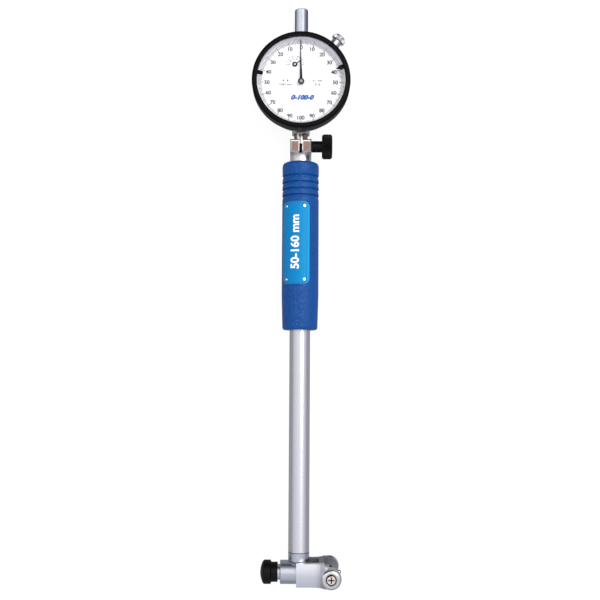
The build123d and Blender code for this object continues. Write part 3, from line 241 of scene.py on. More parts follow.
def fit(name, mesh, where, material, body, slot, *replaced):
    """Puts a finished mesh in its place on the gauge and fixes it to its body."""
    mesh.transform(gauge @ where)
    mesh.name = name
    mesh.materials.clear()
    mesh.materials.append(material)
    piece = bpy.data.objects.new(name, mesh)
    bpy.context.scene.collection.objects.link(piece)
    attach(piece, body)
    if replaced:
        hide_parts(*replaced)
    return piece


UP_THE_TUBE = Matrix.Rotation(radians(-90), 4, "X")
grip_bore = 6.05
grip_radius = 10.75
grip_foot = 137.9
grip_top = 236.4
ring_first = 216.7
ring_pitch = 3.87
ring_count = 4
ring_depth = 0.8
sleeve_room = 6.3
sleeve_foot = 231.0
grip_foot_radius = 10.2
taper_top = 158.0
ring_steps = 12
grip_line = eased([(grip_bore, grip_foot), (grip_foot_radius, grip_foot, 1.6),
                   (grip_radius, taper_top)])
for number in range(ring_count):
    for step in range(ring_steps + 1):
        share = step / ring_steps
        grip_line.append((grip_radius - ring_depth * share ** 3,
                          ring_first + (number - 1 + share) * ring_pitch))
grip_line.append((grip_radius - 0.3 * ring_depth, grip_line[-1][1] + 0.15))
grip_line += eased([(grip_radius, grip_line[-1][1] + 0.5), (grip_radius, grip_top, 2.6),
                    (sleeve_room, grip_top, 0.3), (sleeve_room, sleeve_foot)])
grip_line.append((grip_bore, sleeve_foot))

# Pebbled ABS: a deep blue with a soft sheen, its pebbles drawn at 0.7 mm, coarser than in the mould, so
# that they show.
# Painted glints lighten some of them where the grip faces up.
pebble_size = 0.7
pebbled_abs, tree, shader, place = new_material(
    "pebbled_abs", "#044486", 0.0, 0.4, Specular_IOR_Level=0.2)
pebbles = add(tree, "ShaderNodeTexVoronoi", {
    "Vector": place, "Scale": 1 / pebble_size, "Randomness": 1.0}, feature="SMOOTH_F1")
patches = add(tree, "ShaderNodeTexNoise", {"Vector": place, "Scale": 0.9, "Detail": 4.0})
tint = add(tree, "ShaderNodeValToRGB", {"Fac": patches.outputs["Fac"]})
# Painted glints: a light blue laid into the base colour over noise, only where the grip faces up.
painted_glints = add(tree, "ShaderNodeTexNoise", {"Vector": place, "Scale": 1.4, "Detail": 1.0})
painted_glint_share = add(tree, "ShaderNodeMapRange", {
    "Value": painted_glints.outputs["Fac"], "From Min": 0.6, "From Max": 0.74, "To Max": 0.5})
across = add(tree, "ShaderNodeSeparateXYZ", {"Vector": place})
from_front = add(tree, "ShaderNodeMath", {0: across.outputs["X"]}, operation="ABSOLUTE")
facing_up = add(tree, "ShaderNodeMapRange", {
    "Value": from_front.outputs[0], "From Min": 5.5, "From Max": 2.0})
painted_glint_mask = add(tree, "ShaderNodeMath", {
    0: painted_glint_share.outputs["Result"], 1: facing_up.outputs["Result"]}, operation="MULTIPLY")
grip_tint_with_painted_glints = add(tree, "ShaderNodeMix", {
    0: painted_glint_mask.outputs[0], 6: stops(tint, [(0.3, "#033c7c"), (0.7, "#054a8e")]),
    7: linear("#3f86cc")}, data_type="RGBA")
tree.links.new(grip_tint_with_painted_glints.outputs[2], shader.inputs["Base Color"])
relief = add(tree, "ShaderNodeBump", {
    "Height": pebbles.outputs["Distance"], "Strength": 0.8, "Distance": 0.00012})
tree.links.new(relief.outputs["Normal"], shader.inputs["Normal"])
fit("handle_grip_moulding", turned("grip", grip_line, 128), UP_THE_TUBE, pebbled_abs,
    "frame", "blue_grip", "handle_grip")


# Label plate
# A thin aluminium plate, blanked with round corners, anodised light blue and bent round
# the grip. A fine line is etched inside its edge, and a plain size range printed in white.
label_foot = 163.9
label_top = 212.1
label_radius = 11.15
label_turn = radians(17.0)
ink_lift = 0.01


def lettering(words, height, weight=0.0, slant=0.0, thick=0.02):
    """Printed characters of a real height, as a thin solid round the local origin."""
    curve = bpy.data.curves.new("lettering", "FONT")
    curve.body = words
    curve.offset = weight
    curve.shear = slant
    curve.extrude = 0.01
    curve.resolution_u = 4
    maker = bpy.data.objects.new("lettering", curve)
    bpy.context.scene.collection.objects.link(maker)
    bpy.context.view_layer.update()
    seen = maker.evaluated_get(bpy.context.evaluated_depsgraph_get())
    mesh = bpy.data.meshes.new_from_object(seen)
    bpy.data.objects.remove(maker)
    low = [min(v.co[axis] for v in mesh.vertices) for axis in range(3)]
    high = [max(v.co[axis] for v in mesh.vertices) for axis in range(3)]
    scale = height / (high[1] - low[1])
    mesh.transform(Matrix.Diagonal((scale, scale, thick / (high[2] - low[2]), 1)) @ Matrix.Translation(
        [-(low[0] + high[0]) / 2, -(low[1] + high[1]) / 2, -low[2]]))
    return mesh


def sliced(mesh, step):
    """Cuts a flat mesh into strips along local X, so that it can be bent."""
    form = bmesh.new()
    form.from_mesh(mesh)
    bmesh.ops.remove_doubles(form, verts=form.verts, dist=1e-5)
    low = min(v.co.x for v in form.verts)
    high = max(v.co.x for v in form.verts)
    for number in range(1, int((high - low) / step) + 1):
        everything = form.verts[:] + form.edges[:] + form.faces[:]
        bmesh.ops.bisect_plane(form, geom=everything, plane_co=(low + number * step, 0, 0),
                               plane_no=(1, 0, 0))
    form.to_mesh(mesh)
    form.free()
    return mesh


def bent_on_label(mesh):
    """Bends a flat mesh round the label: local X goes round it, Y up it and Z out of it."""
    for vertex in mesh.vertices:
        across, up, out = vertex.co
        angle = across / label_radius - label_turn
        reach = label_radius + ink_lift + out
        vertex.co = (reach * sin(angle), up, reach * cos(angle))
    mesh.update()
    return mesh


# Anodised aluminium: light blue with a silky gloss, with painted light that makes it paler where it turns
# to the right.
anodised_blue, tree, shader, place = new_material(
    "anodised_aluminium_blue", "#0078b0", 0.0, 0.42, Specular_IOR_Level=0.12)
lined(tree, shader, place, (3.0, 0.2, 0.4), 0.002, 0.03)
# Painted light: the blue is painted paler towards the plate's right side.
label_painted_light = tint_along(tree, place, "X", -10.5, 5.5, [
    (0.0, "#067cb6"), (0.14, "#0074ac"), (0.5, "#007ab4"), (0.85, "#0088be"), (1.0, "#0896cc")])
tree.links.new(label_painted_light, shader.inputs["Base Color"])
paint("label_plate", anodised_blue)
# Screen ink on the label: opaque, flat and slightly soft at the edge.
white_ink, tree, shader, place = new_material("white_screen_ink", "#f2eef2", 0.0, 0.5)
lined(tree, shader, place, (4.0, 4.0, 4.0), 0.002)


def hoop(half_width, half_height, corner, line, thick=0.02, steps=32):
    """A thin line round a rectangle with round corners, as a flat solid."""
    form = bmesh.new()
    loops = []
    for inset, level in ((0, 0), (line, 0), (line, thick), (0, thick)):
        loop = []
        for step in range(steps):
            turn = 2 * pi * (step + 0.5) / steps
            side = (1 if cos(turn) > 0 else -1, 1 if sin(turn) > 0 else -1)
            reach = corner - inset
            loop.append(form.verts.new((side[0] * (half_width - corner) + reach * cos(turn),
                                        side[1] * (half_height - corner) + reach * sin(turn), level)))
        loops.append(loop)
    for inner, outer in zip(loops, loops[1:] + loops[:1]):
        for step in range(steps):
            beside = (step + 1) % steps
            form.faces.new((inner[step], inner[beside], outer[beside], outer[step]))
    bmesh.ops.recalc_face_normals(form, faces=form.faces)
    mesh = bpy.data.meshes.new("hoop")
    form.to_mesh(mesh)
    form.free()
    return mesh


# The line is a deeper blue than the plate, etched before the plate is anodised.
etched_blue, tree, shader, place = new_material("etched_label_line", "#04588c", 0.0, 0.6)
lined(tree, shader, place, (4.0, 4.0, 4.0), 0.002)
bend_step = 0.5
line_half_width = 7.2
line_half_height = 23.3
line_corner = 2.4
line_width = 0.22
label_middle = (label_foot + label_top) / 2
edge_line = hoop(line_half_width, line_half_height, line_corner, line_width)
fit("label_line", bent_on_label(sliced(edge_line, bend_step)),
    Matrix.Translation((0, label_middle, 0)), etched_blue, "frame", "label")
range_height = 5.3
range_above_middle = 0.4
size_range = lettering("50-160 mm", range_height, weight=0.03)
size_range.transform(Matrix.Rotation(radians(90), 4, "Z"))
fit("label_size_range", bent_on_label(sliced(size_range, bend_step)),
    Matrix.Translation((0, label_middle + range_above_middle, 0)), white_ink, "frame", "label")


# Label rivets
# Four small round-headed rivets of nickel plated brass, pressed into the grip. They are
# domed, so each shows one white point of light.
nickel_plate, tree, shader, place = new_material("nickel_plated_rivet", "#d9dade", 1.0, 0.16)
lined(tree, shader, place, (3.0, 3.0, 3.0), 0.002)
paint("label_rivets", nickel_plate)


# Clamp sleeve
# A turned steel sleeve with two milled ears, sawn through in front and nickel plated. The
# screw draws the ears together on the indicator's stem.
ear_face = 10.97
ear_middle = 3.4
ear_half_width = 2.05
ear_height = 244.5
ear_half_height = 2.8
# Nickel plate on turned steel: silky, with fine tool marks round it. The ears' milled faces carry a
# painted warm reflection inside their edges.
nickel_steel, tree, shader, place = new_material("nickel_plated_steel", "#d8d6d8", 1.0, 0.34)
lined(tree, shader, place, (0.3, 5.0, 0.3), 0.003, 0.04)
across = add(tree, "ShaderNodeSeparateXYZ", {"Vector": place})
from_middle = add(tree, "ShaderNodeMath", {0: across.outputs["X"]}, operation="ABSOLUTE")
in_width = add(tree, "ShaderNodeMath", {
    0: from_middle.outputs[0], 1: ear_middle, 2: ear_half_width}, operation="COMPARE")
in_height = add(tree, "ShaderNodeMath", {
    0: across.outputs["Y"], 1: ear_height, 2: ear_half_height}, operation="COMPARE")
in_front = add(tree, "ShaderNodeMath", {
    0: across.outputs["Z"], 1: ear_face}, operation="GREATER_THAN")
framed = add(tree, "ShaderNodeMath", {
    0: in_width.outputs[0], 1: in_height.outputs[0]}, operation="MULTIPLY")
on_face = add(tree, "ShaderNodeMath", {
    0: framed.outputs[0], 1: in_front.outputs[0]}, operation="MULTIPLY")
# Painted reflection: a warm brown mottle laid on the ears' front faces inside their edges.
painted_reflection_noise = add(tree, "ShaderNodeTexNoise", {"Vector": place, "Scale": 1.6, "Detail": 3.0})
painted_warm_reflection = add(tree, "ShaderNodeValToRGB", {"Fac": painted_reflection_noise.outputs["Fac"]})
painted_light_tint = add(tree, "ShaderNodeMix", {
    0: on_face.outputs[0], 6: linear("#dedcde"),
    7: stops(painted_warm_reflection, [(0.3, "#82695f"), (0.7, "#94796e")])}, data_type="RGBA")
tree.links.new(painted_light_tint.outputs[2], shader.inputs["Base Color"])
paint("clamp_sleeve", nickel_steel)


# Thumb screw
# A blackened steel screw through the two ears. Its collar bears on the right ear, and its
# wide head is knurled with straight ribs for the fingers.
def ring_tree(name, part_kind):
    """A node tree that sets copies of one part round local Z and joins them to its mesh."""
    tree = bpy.data.node_groups.new(name, "GeometryNodeTree")
    tree.interface.new_socket(name="Mesh", in_out="OUTPUT", socket_type="NodeSocketGeometry")
    for label, kind in (("Mesh", "Geometry"), ("Count", "Int"), ("Reach", "Float"),
                        ("Level", "Float"), ("Length", "Float"), ("Width", "Float"),
                        ("Thickness", "Float"), ("Finish", "Material")):
        tree.interface.new_socket(name=label, in_out="INPUT", socket_type="NodeSocket" + kind)
    given = tree.nodes.new("NodeGroupInput").outputs
    places = add(tree, "GeometryNodeMeshCircle", {"Vertices": given["Count"], "Radius": given["Reach"]})
    if part_kind == "rib":
        part = add(tree, "GeometryNodeMeshCylinder", {
            "Vertices": 4, "Radius": given["Width"], "Depth": given["Length"]})
    else:
        size = add(tree, "ShaderNodeCombineXYZ", {
            "X": given["Length"], "Y": given["Width"], "Z": given["Thickness"]})
        part = add(tree, "GeometryNodeMeshCube", {"Size": size.outputs["Vector"]})
    position = add(tree, "GeometryNodeInputPosition")
    outward = add(tree, "FunctionNodeAlignRotationToVector", {"Vector": position.outputs[0]}, axis="X")
    copies = add(tree, "GeometryNodeInstanceOnPoints", {
        "Points": places.outputs["Mesh"], "Instance": part.outputs["Mesh"],
        "Rotation": outward.outputs["Rotation"]})
    level = add(tree, "ShaderNodeCombineXYZ", {"Z": given["Level"]})
    raised = add(tree, "GeometryNodeTransform", {
        "Geometry": copies.outputs["Instances"], "Translation": level.outputs["Vector"]})
    joined = add(tree, "GeometryNodeJoinGeometry", {"Geometry": given["Mesh"]})
    tree.links.new(raised.outputs["Geometry"], joined.inputs["Geometry"])
    real = add(tree, "GeometryNodeRealizeInstances", {"Geometry": joined.outputs["Geometry"]})
    finished = add(tree, "GeometryNodeSetMaterial", {
        "Geometry": real.outputs["Geometry"], "Material": given["Finish"]})
    end = tree.nodes.new("NodeGroupOutput")
    tree.links.new(finished.outputs["Geometry"], end.inputs["Mesh"])
    return tree


def grown(mesh, tree, finish, *sizes):
    """Runs a node tree on a mesh, once for each set of its sizes, and gives the plain result."""
    maker = bpy.data.objects.new("maker", mesh)
    bpy.context.scene.collection.objects.link(maker)
    sockets = {item.name: item.identifier for item in tree.interface.items_tree
               if item.in_out == "INPUT"}
    for values in sizes:
        modifier = maker.modifiers.new("grown", "NODES")
        modifier.node_group = tree
        for label, value in values.items():
            modifier[sockets[label]] = value
        modifier[sockets["Finish"]] = finish
    bpy.context.view_layer.update()
    seen = maker.evaluated_get(bpy.context.evaluated_depsgraph_get())
    result = bpy.data.meshes.new_from_object(seen)
    maker.modifiers.clear()
    bpy.data.objects.remove(maker)
    return result


rib_ring = ring_tree("ribs_round_an_edge", "rib")
TO_THE_RIGHT = Matrix.Rotation(radians(90), 4, "Y")
screw_height = 244.9
screw_level = 7.4
screw_end = -6.25
collar_start = 6.3
head_start = 12.4
head_end = 18.3
head_radius = 7.2
screw_rib = 0.24
screw_radius = 2.0
collar_radius = 3.3
screw_line = eased([
    (0, screw_end), (screw_radius, screw_end, 0.4), (screw_radius, collar_start),
    (collar_radius, collar_start, 0.2), (collar_radius, head_start, 0.3),
    (head_radius - screw_rib, head_start, 0.9),
    (head_radius - screw_rib, head_end, 0.9), (4.6, head_end, 0.5), (4.2, head_end - 0.35, 0.5),
    (0, head_end - 0.35)])
# Blackened steel: nearly black, with a dull oily sheen along its edges.
black_steel, tree, shader, place = new_material(
    "blackened_steel", "#070708", 0.0, 0.36, Specular_IOR_Level=0.16)
lined(tree, shader, place, (5.0, 0.4, 0.4), 0.004)
screw = grown(turned("screw", screw_line, 64), rib_ring, black_steel, {
    "Count": 72, "Reach": head_radius - screw_rib - 0.1, "Level": (head_start + head_end) / 2,
    "Length": head_end - head_start - 1.6, "Width": screw_rib + 0.1})
fit("thumb_screw", screw, Matrix.Translation((0, screw_height, screw_level)) @ TO_THE_RIGHT,
    black_steel, "clamp_screw", "black_metal", "clamp_screw")


# Stem and bushes
# The indicator's stem is ground steel, eight millimetres across, and carries brass bushes
# in which the spindle runs.
# Ground steel: bright and slightly warm, with fine grinding lines round it.
ground_steel, tree, shader, place = new_material("ground_steel", "#cbc3bc", 1.0, 0.13)
lined(tree, shader, place, (0.3, 7.0, 0.3), 0.003, 0.04)
# The same steel under the dial, with painted reflections of the ears and the bezel in bands across it.
stem_steel, tree, shader, place = new_material("ground_steel_stem", "#cbc3bc", 1.0, 0.2)
lined(tree, shader, place, (0.3, 7.0, 0.3), 0.003, 0.04)
stem_radius = 4.0
# Painted reflections: light and dark bands across the stem, of the ears and the bezel.
stem_painted_reflections = tint_along(tree, place, "X", -stem_radius, stem_radius, [
    (0.0, "#5c524c"), (0.08, "#857a72"), (0.22, "#968a80"), (0.27, "#e9e5e2"), (0.38, "#efecea"),
    (0.45, "#6e6762"), (0.5, "#c6c0bb"), (0.56, "#e4e0dd"), (0.62, "#3c2f29"), (0.75, "#4b3c34"),
    (0.81, "#998a80"), (0.92, "#8a7c72"), (1.0, "#5c504a")])
tree.links.new(stem_painted_reflections, shader.inputs["Base Color"])
# Turned brass: warm yellow with fine rings of the tool.
turned_brass, tree, shader, place = new_material("turned_brass", "#cfa65a", 1.0, 0.24)
lined(tree, shader, place, (2.0, 2.0, 6.0), 0.004)
paint("indicator_stem", stem_steel)
for name in ("lower_bush", "middle_bush", "upper_bush"):
    paint(name, turned_brass)


# Case, rear cover and dust cap
# The case is a die cast aluminium cup, turned outside. Its cover is held by four sunk
# screws, and a steel cap screwed on its boss shuts the top of the spindle.
# Cast aluminium, turned and clear lacquered: pale grey with a soft gloss.
turned_aluminium, tree, shader, place = new_material("turned_aluminium", "#c3c5ca", 1.0, 0.32)
lined(tree, shader, place, (0.6, 0.6, 5.0), 0.006)
# Spun aluminium, brushed across: a matt cover with lines that all run one way.
brushed_aluminium, tree, shader, place = new_material("brushed_aluminium", "#c9cacd", 1.0, 0.34)
lined(tree, shader, place, (0.12, 7.0, 1.0), 0.006)
# Zinc plated steel screws: grey, with a slight gloss.
zinc_steel, tree, shader, place = new_material("zinc_plated_steel", "#b9bcc2", 1.0, 0.26)
lined(tree, shader, place, (4.0, 4.0, 4.0), 0.004)
# Turned steel, satin chromed: cool and pale, as on the tube but finer, with painted light across it.
chromed_cap, tree, shader, place = new_material(
    "satin_chromed_cap", "#c2cadc", 1.0, 0.4, Anisotropic=0.6, Anisotropic_Rotation=0.25)
drawn_along(tree, shader)
lined(tree, shader, place, (0.2, 5.0, 0.2), 0.003)
cap_radius = 3.55
# Painted light: a painted highlight left of the middle, and painted shade towards both edges.
cap_painted_light = tint_along(tree, place, "X", -cap_radius, cap_radius, [
    (0.0, "#757b8a"), (0.08, "#bcc4d2"), (0.17, "#f6f8ff"), (0.42, "#f4f6fe"), (0.5, "#c6cbd8"),
    (0.6, "#a8adb8"), (0.83, "#9ea4ae"), (0.92, "#989eaa"), (1.0, "#5e6470")])
tree.links.new(cap_painted_light, shader.inputs["Base Color"])
paint("indicator_case", turned_aluminium)
paint("rear_cover", brushed_aluminium)
paint("cover_screws", zinc_steel)
paint("top_cap", chromed_cap)


# Spindle and movement
# The spindle is hardened and ground. Inside the case brass plates, steel pillars and
# screws hold the train of brass wheels and steel pinions that turns the hands.
# Rolled brass sheet: yellow, with the rolling marks along it.
brass_sheet, tree, shader, place = new_material("rolled_brass_sheet", "#c8a04e", 1.0, 0.3)
lined(tree, shader, place, (0.3, 5.0, 0.3), 0.004)
# Hard drawn spring steel: bright and slightly bluish.
spring_steel, tree, shader, place = new_material("drawn_spring_steel", "#a9adb6", 1.0, 0.22)
lined(tree, shader, place, (3.0, 3.0, 3.0), 0.002)
for name in ("spindle", "contact_tip", "centre_arbor", "counter_arbor", "intermediate_pinion",
             "plate_screws", "pillar_screws"):
    paint(name, ground_steel)
for name in ("pillars", "hairspring_stud"):
    paint(name, turned_brass)
for name in ("rear_plate", "front_plate", "intermediate_wheel", "counter_wheel", "sector_lever"):
    paint(name, brass_sheet)
for name in ("return_spring", "hairspring"):
    paint(name, spring_steel)


# Dial
# A brass disc and a ring round it, both enamelled white and printed dark grey. The ring
# carries the scale and turns with the bezel, and the disc carries the turns counter.
ON_THE_DIAL = Matrix.Translation((0, dial_height, 0))
dial_front = 8.6
print_thick = 0.02
tick_outer = 25.6
divisions = 200
tick_ring = ring_tree("ticks_round_the_dial", "tick")
# Matt white enamel: clean white with a barely uneven surface.
white_enamel, tree, shader, place = new_material("matt_white_enamel", "#fbfbfc", 0.0, 0.6)
lined(tree, shader, place, (0.6, 0.6, 0.6), 0.003)
# Printing ink for scales: dark grey and flat.
scale_ink, tree, shader, place = new_material(
    "dark_scale_ink", "#18181b", 0.0, 0.6, Specular_IOR_Level=0.2)
lined(tree, shader, place, (3.0, 3.0, 3.0), 0.001)
# Blue printing ink: a plain strong blue, as flat as the grey.
blue_ink, tree, shader, place = new_material("blue_printing_ink", "#0858b4", 0.0, 0.5)
lined(tree, shader, place, (3.0, 3.0, 3.0), 0.001)
paint("dial_disc", white_enamel)
paint("dial_ring", white_enamel)


def ticks(count, length, width):
    """The sizes of one ring of division lines, drawn inwards from the scale's edge."""
    return {"Count": count, "Reach": tick_outer - length / 2, "Level": dial_front + print_thick / 2,
            "Length": length, "Width": width, "Thickness": print_thick}


scale = grown(bpy.data.meshes.new("scale"), tick_ring, scale_ink, ticks(divisions, 2.3, 0.24),
              ticks(divisions // 5, 2.7, 0.28), ticks(divisions // 10, 3.2, 0.36))
fit("dial_scale", scale, ON_THE_DIAL @ Matrix.Rotation(pi / 2, 4, "Z"), scale_ink, "bezel",
    "dial_white")


def gathered(meshes):
    """Several meshes as one."""
    form = bmesh.new()
    for mesh in meshes:
        form.from_mesh(mesh)
    whole = bpy.data.meshes.new("gathered")
    form.to_mesh(whole)
    form.free()
    return whole


figure_height = 2.45
figures = []
for number in range(0, 101, 10):
    for side in ((1,) if number in (0, 100) else (1, -1)):
        turn = radians(1.8 * number) * side
        reach = 20.1 + 1.1 * cos(turn) ** 2
        figure = lettering(str(number), figure_height, weight=0.03)
        figure.transform(Matrix.Translation((reach * sin(turn), reach * cos(turn), dial_front)))
        figures.append(figure)
fit("dial_figures", gathered(figures), ON_THE_DIAL, scale_ink, "bezel", "dial_white")

counter_x = -3.76
counter_y = 10.76
counter_middle = Vector((counter_x, counter_y, dial_front))
counter_scale = 5.2
counter_figures = 3.45
counter_tick = 0.28
counter_marks = []
for number in range(0, 11):
    turn = radians(18 * number)
    mark = bpy.data.meshes.new("mark")
    form = bmesh.new()
    bmesh.ops.create_cube(form, size=1.0)
    form.to_mesh(mark)
    form.free()
    length = 0.9 if number % 2 == 0 else 0.5
    mark.transform(Matrix.Translation(counter_middle) @ Matrix.Rotation(turn, 4, "Z")
                   @ Matrix.Translation((counter_scale - length / 2, 0, print_thick / 2))
                   @ Matrix.Diagonal((length, counter_tick, print_thick, 1)))
    counter_marks.append(mark)
    if number % 2 == 0:
        figure = lettering(str(number), 1.15, weight=0.02)
        figure.transform(Matrix.Translation(counter_middle + Vector((
            counter_figures * cos(turn), counter_figures * sin(turn), 0))))
        counter_marks.append(figure)
# The line that joins the marks, as a thin bar bent over half a turn.
arc = bpy.data.meshes.new("arc")
form = bmesh.new()
arc_steps = 36
arc_inner = counter_scale - 0.06
arc_outer = counter_scale + 0.06
arc_section = ((arc_inner, 0), (arc_outer, 0), (arc_outer, print_thick), (arc_inner, print_thick))
sections = []
for step in range(arc_steps + 1):
    turn = pi * step / arc_steps
    sections.append([form.verts.new(counter_middle + Vector((reach * cos(turn), reach * sin(turn), up)))
                     for reach, up in arc_section])
for low, high in zip(sections, sections[1:]):
    for corner in range(4):
        form.faces.new((low[corner], low[corner - 3], high[corner - 3], high[corner]))
form.faces.new(sections[0])
form.faces.new(sections[-1])
bmesh.ops.recalc_face_normals(form, faces=form.faces)
form.to_mesh(arc)
form.free()
counter_marks.append(arc)
fit("counter_scale", gathered(counter_marks), ON_THE_DIAL, scale_ink, "indicator", "dial_white")

words_left = -9.2
words_right = 9.6
upper_line = 1.1
lower_line = -1.3
words = []
for text, x, y in (("0.001 mm", words_left, lower_line), ("0-1 mm", words_right, upper_line),
                   ("0-10", words_right, lower_line)):
    word = lettering(text, 1.35, weight=0.02)
    word.transform(Matrix.Translation((x, y, dial_front)))
    words.append(word)
arrow_radius = 0.75
for side in (-1, 1):
    arrow = bpy.data.meshes.new("arrow")
    form = bmesh.new()
    bmesh.ops.create_cone(form, cap_ends=True, segments=3, radius1=arrow_radius,
                          radius2=arrow_radius, depth=print_thick)
    form.to_mesh(arrow)
    form.free()
    arrow.transform(Matrix.Translation((words_left + 1.2 * side, upper_line, dial_front + print_thick / 2))
                    @ Matrix.Rotation(-side * pi / 2, 4, "Z"))
    words.append(arrow)
fit("dial_words", gathered(words), ON_THE_DIAL, scale_ink, "indicator", "dial_white")
blue_height = 3.2
blue_widened = 1.12
blue_number = lettering("0-100-0", blue_height, weight=0.08, slant=0.35)
blue_number.transform(Matrix.Translation((0.9, -9.0, dial_front))
                      @ Matrix.Diagonal((blue_widened, 1, 1, 1)))
fit("dial_blue_number", blue_number, ON_THE_DIAL, blue_ink, "indicator", "dial_white")


# Hands
# Both hands are stamped from thin steel and blackened. The long one is riveted on a
# polished hub, and the counter's has an open ring as its own hub.
# Blackened hand: flat black, so that it reads against the dial.
black_hand, tree, shader, place = new_material(
    "blackened_hand", "#060607", 0.0, 0.5, Specular_IOR_Level=0.12)
lined(tree, shader, place, (3.0, 3.0, 3.0), 0.002)
# Polished hub: a small steel cap, with a painted highlight in its middle and painted shade at its rounded
# rim.
polished_hub, tree, shader, place = new_material("polished_steel_hub", "#5a5b5e", 1.0, 0.3)
lined(tree, shader, place, (3.0, 3.0, 3.0), 0.002)
flat_place = add(tree, "ShaderNodeVectorMath", {0: place, 1: (1, 1, 0)}, operation="MULTIPLY")
from_hub = add(tree, "ShaderNodeVectorMath", {0: flat_place.outputs["Vector"], 1: (0, dial_height, 0)},
               operation="DISTANCE")
hub_radius = 1.7
over_hub = add(tree, "ShaderNodeMapRange", {
    "Value": from_hub.outputs["Value"], "From Min": 0.0, "From Max": hub_radius})
# Painted light: bright in the middle of the hub, darker towards its rim.
hub_painted_light = add(tree, "ShaderNodeValToRGB", {"Fac": over_hub.outputs["Result"]})
tree.links.new(stops(hub_painted_light, [
    (0.0, "#b4b6b6"), (0.4, "#8f9192"), (0.6, "#55575a"), (1.0, "#2c2d30")]), shader.inputs["Base Color"])
paint("main_hand", black_hand)
paint("counter_hand", black_hand)
paint("hand_hub", polished_hub)
eye_radius = 0.62
eye_low = 9.3
eye_high = 9.34
counter_eye = turned("eye", [(0, eye_low), (eye_radius, eye_low), (eye_radius, eye_high),
                             (0, eye_high)], 32)
fit("counter_hand_eye", counter_eye, ON_THE_DIAL @ Matrix.Translation((counter_x, counter_y, 0)),
    white_enamel, "counter", "dial_white")


# Bezel
# A turned ring of black anodised aluminium, with fine ribs round it for the fingers. It
# holds the scale ring, a spacer and the crystal, and a wire ring keeps it on the case.
bezel_radius = 28.8
bezel_bore = 25.0
bezel_rib = 0.22
bezel_line = eased([
    (bezel_bore, 5.6), (bezel_radius - bezel_rib, 5.6, 0.4), (bezel_radius - bezel_rib, 13.7),
    (bezel_radius, 13.9, 0.15), (bezel_radius, 14.3, 0.5), (27.7, 15.0, 0.6),
    (25.95, 15.0, 0.35), (25.75, 14.2), (26.4, 14.2), (26.4, dial_back), (bezel_bore, dial_back)])
# Black anodised aluminium: a deep satin black, with a dull light along its edges.
black_anodised, tree, shader, place = new_material(
    "black_anodised_aluminium", "#050405", 0.0, 0.34, Specular_IOR_Level=0.1)
lined(tree, shader, place, (1.0, 1.0, 5.0), 0.004)
bezel = grown(turned("bezel", bezel_line, 180), rib_ring, black_anodised, {
    "Count": 180, "Reach": bezel_radius - bezel_rib - 0.15, "Level": 9.8, "Length": 7.6,
    "Width": bezel_rib + 0.15})
fit("knurled_bezel", bezel, ON_THE_DIAL, black_anodised, "bezel", "black_metal", "bezel")
# Clear acrylic: almost unseen from above, with only a faint reflection.
clear_acrylic, tree, shader, place = new_material(
    "clear_acrylic", "#606468", 0.0, 0.03, Alpha=0.03, IOR=1.49)
lined(tree, shader, place, (0.05, 0.05, 0.05), 0.0005, 0.01)
paint("crystal", clear_acrylic)
# White acetal: a matt ring that stays quiet beside the scale.
white_acetal, tree, shader, place = new_material("white_acetal", "#d6d6de", 0.0, 0.6)
lined(tree, shader, place, (2.0, 2.0, 2.0), 0.002)
paint("spacer_ring", white_acetal)
paint("wire_ring", spring_steel)
paint("left_marker", black_hand)
paint("right_marker", black_hand)


# Bezel lock
# A small knurled steel knob with a domed end. Its screw draws a brass shoe against the
# bezel through a boss on the case.
lock_level = 2.0
lock_angle = radians(52)
ALONG_LOCK = (Matrix.Translation((0, dial_height, lock_level)) @ Matrix.Rotation(lock_angle, 4, "Z")
              @ TO_THE_RIGHT)
lock_screw_end = 23.55
lock_screw_radius = 1.5
knob_start = 34.85
knob_end = 38.35
knob_radius = 4.2
knob_line = eased([
    (0, lock_screw_end), (lock_screw_radius, lock_screw_end, 0.2), (lock_screw_radius, knob_start),
    (knob_radius - 0.3, knob_start, 0.4),
    (knob_radius - 0.15, knob_end - 1.3, 0.4), (3.0, knob_end - 1.1), (3.0, knob_end - 0.8),
    (3.3, knob_end - 0.7, 0.2), (3.0, knob_end - 0.1, 0.5), (0, knob_end)])
# Satin nickel: the knob's ribs blur what they mirror.
satin_knob, tree, shader, place = new_material("satin_nickel_knob", "#c9cacf", 1.0, 0.4)
lined(tree, shader, place, (2.0, 2.0, 2.0), 0.003)
knob = grown(turned("knob", knob_line, 48), rib_ring, satin_knob, {
    "Count": 40, "Reach": knob_radius - 0.25, "Level": (knob_start + knob_end - 1.1) / 2,
    "Length": 1.7, "Width": 0.25})
fit("bezel_lock_knob", knob, ALONG_LOCK, satin_knob, "lock_knob", "chrome", "lock_knob")
paint("lock_shoe", turned_brass)


# Push rod
# A ground steel rod in two brass guides carries the movement of the head up the tube to
# the indicator, and a light spring keeps it down.
paint("push_rod", ground_steel)
paint("lower_guide", turned_brass)
paint("upper_guide", turned_brass)


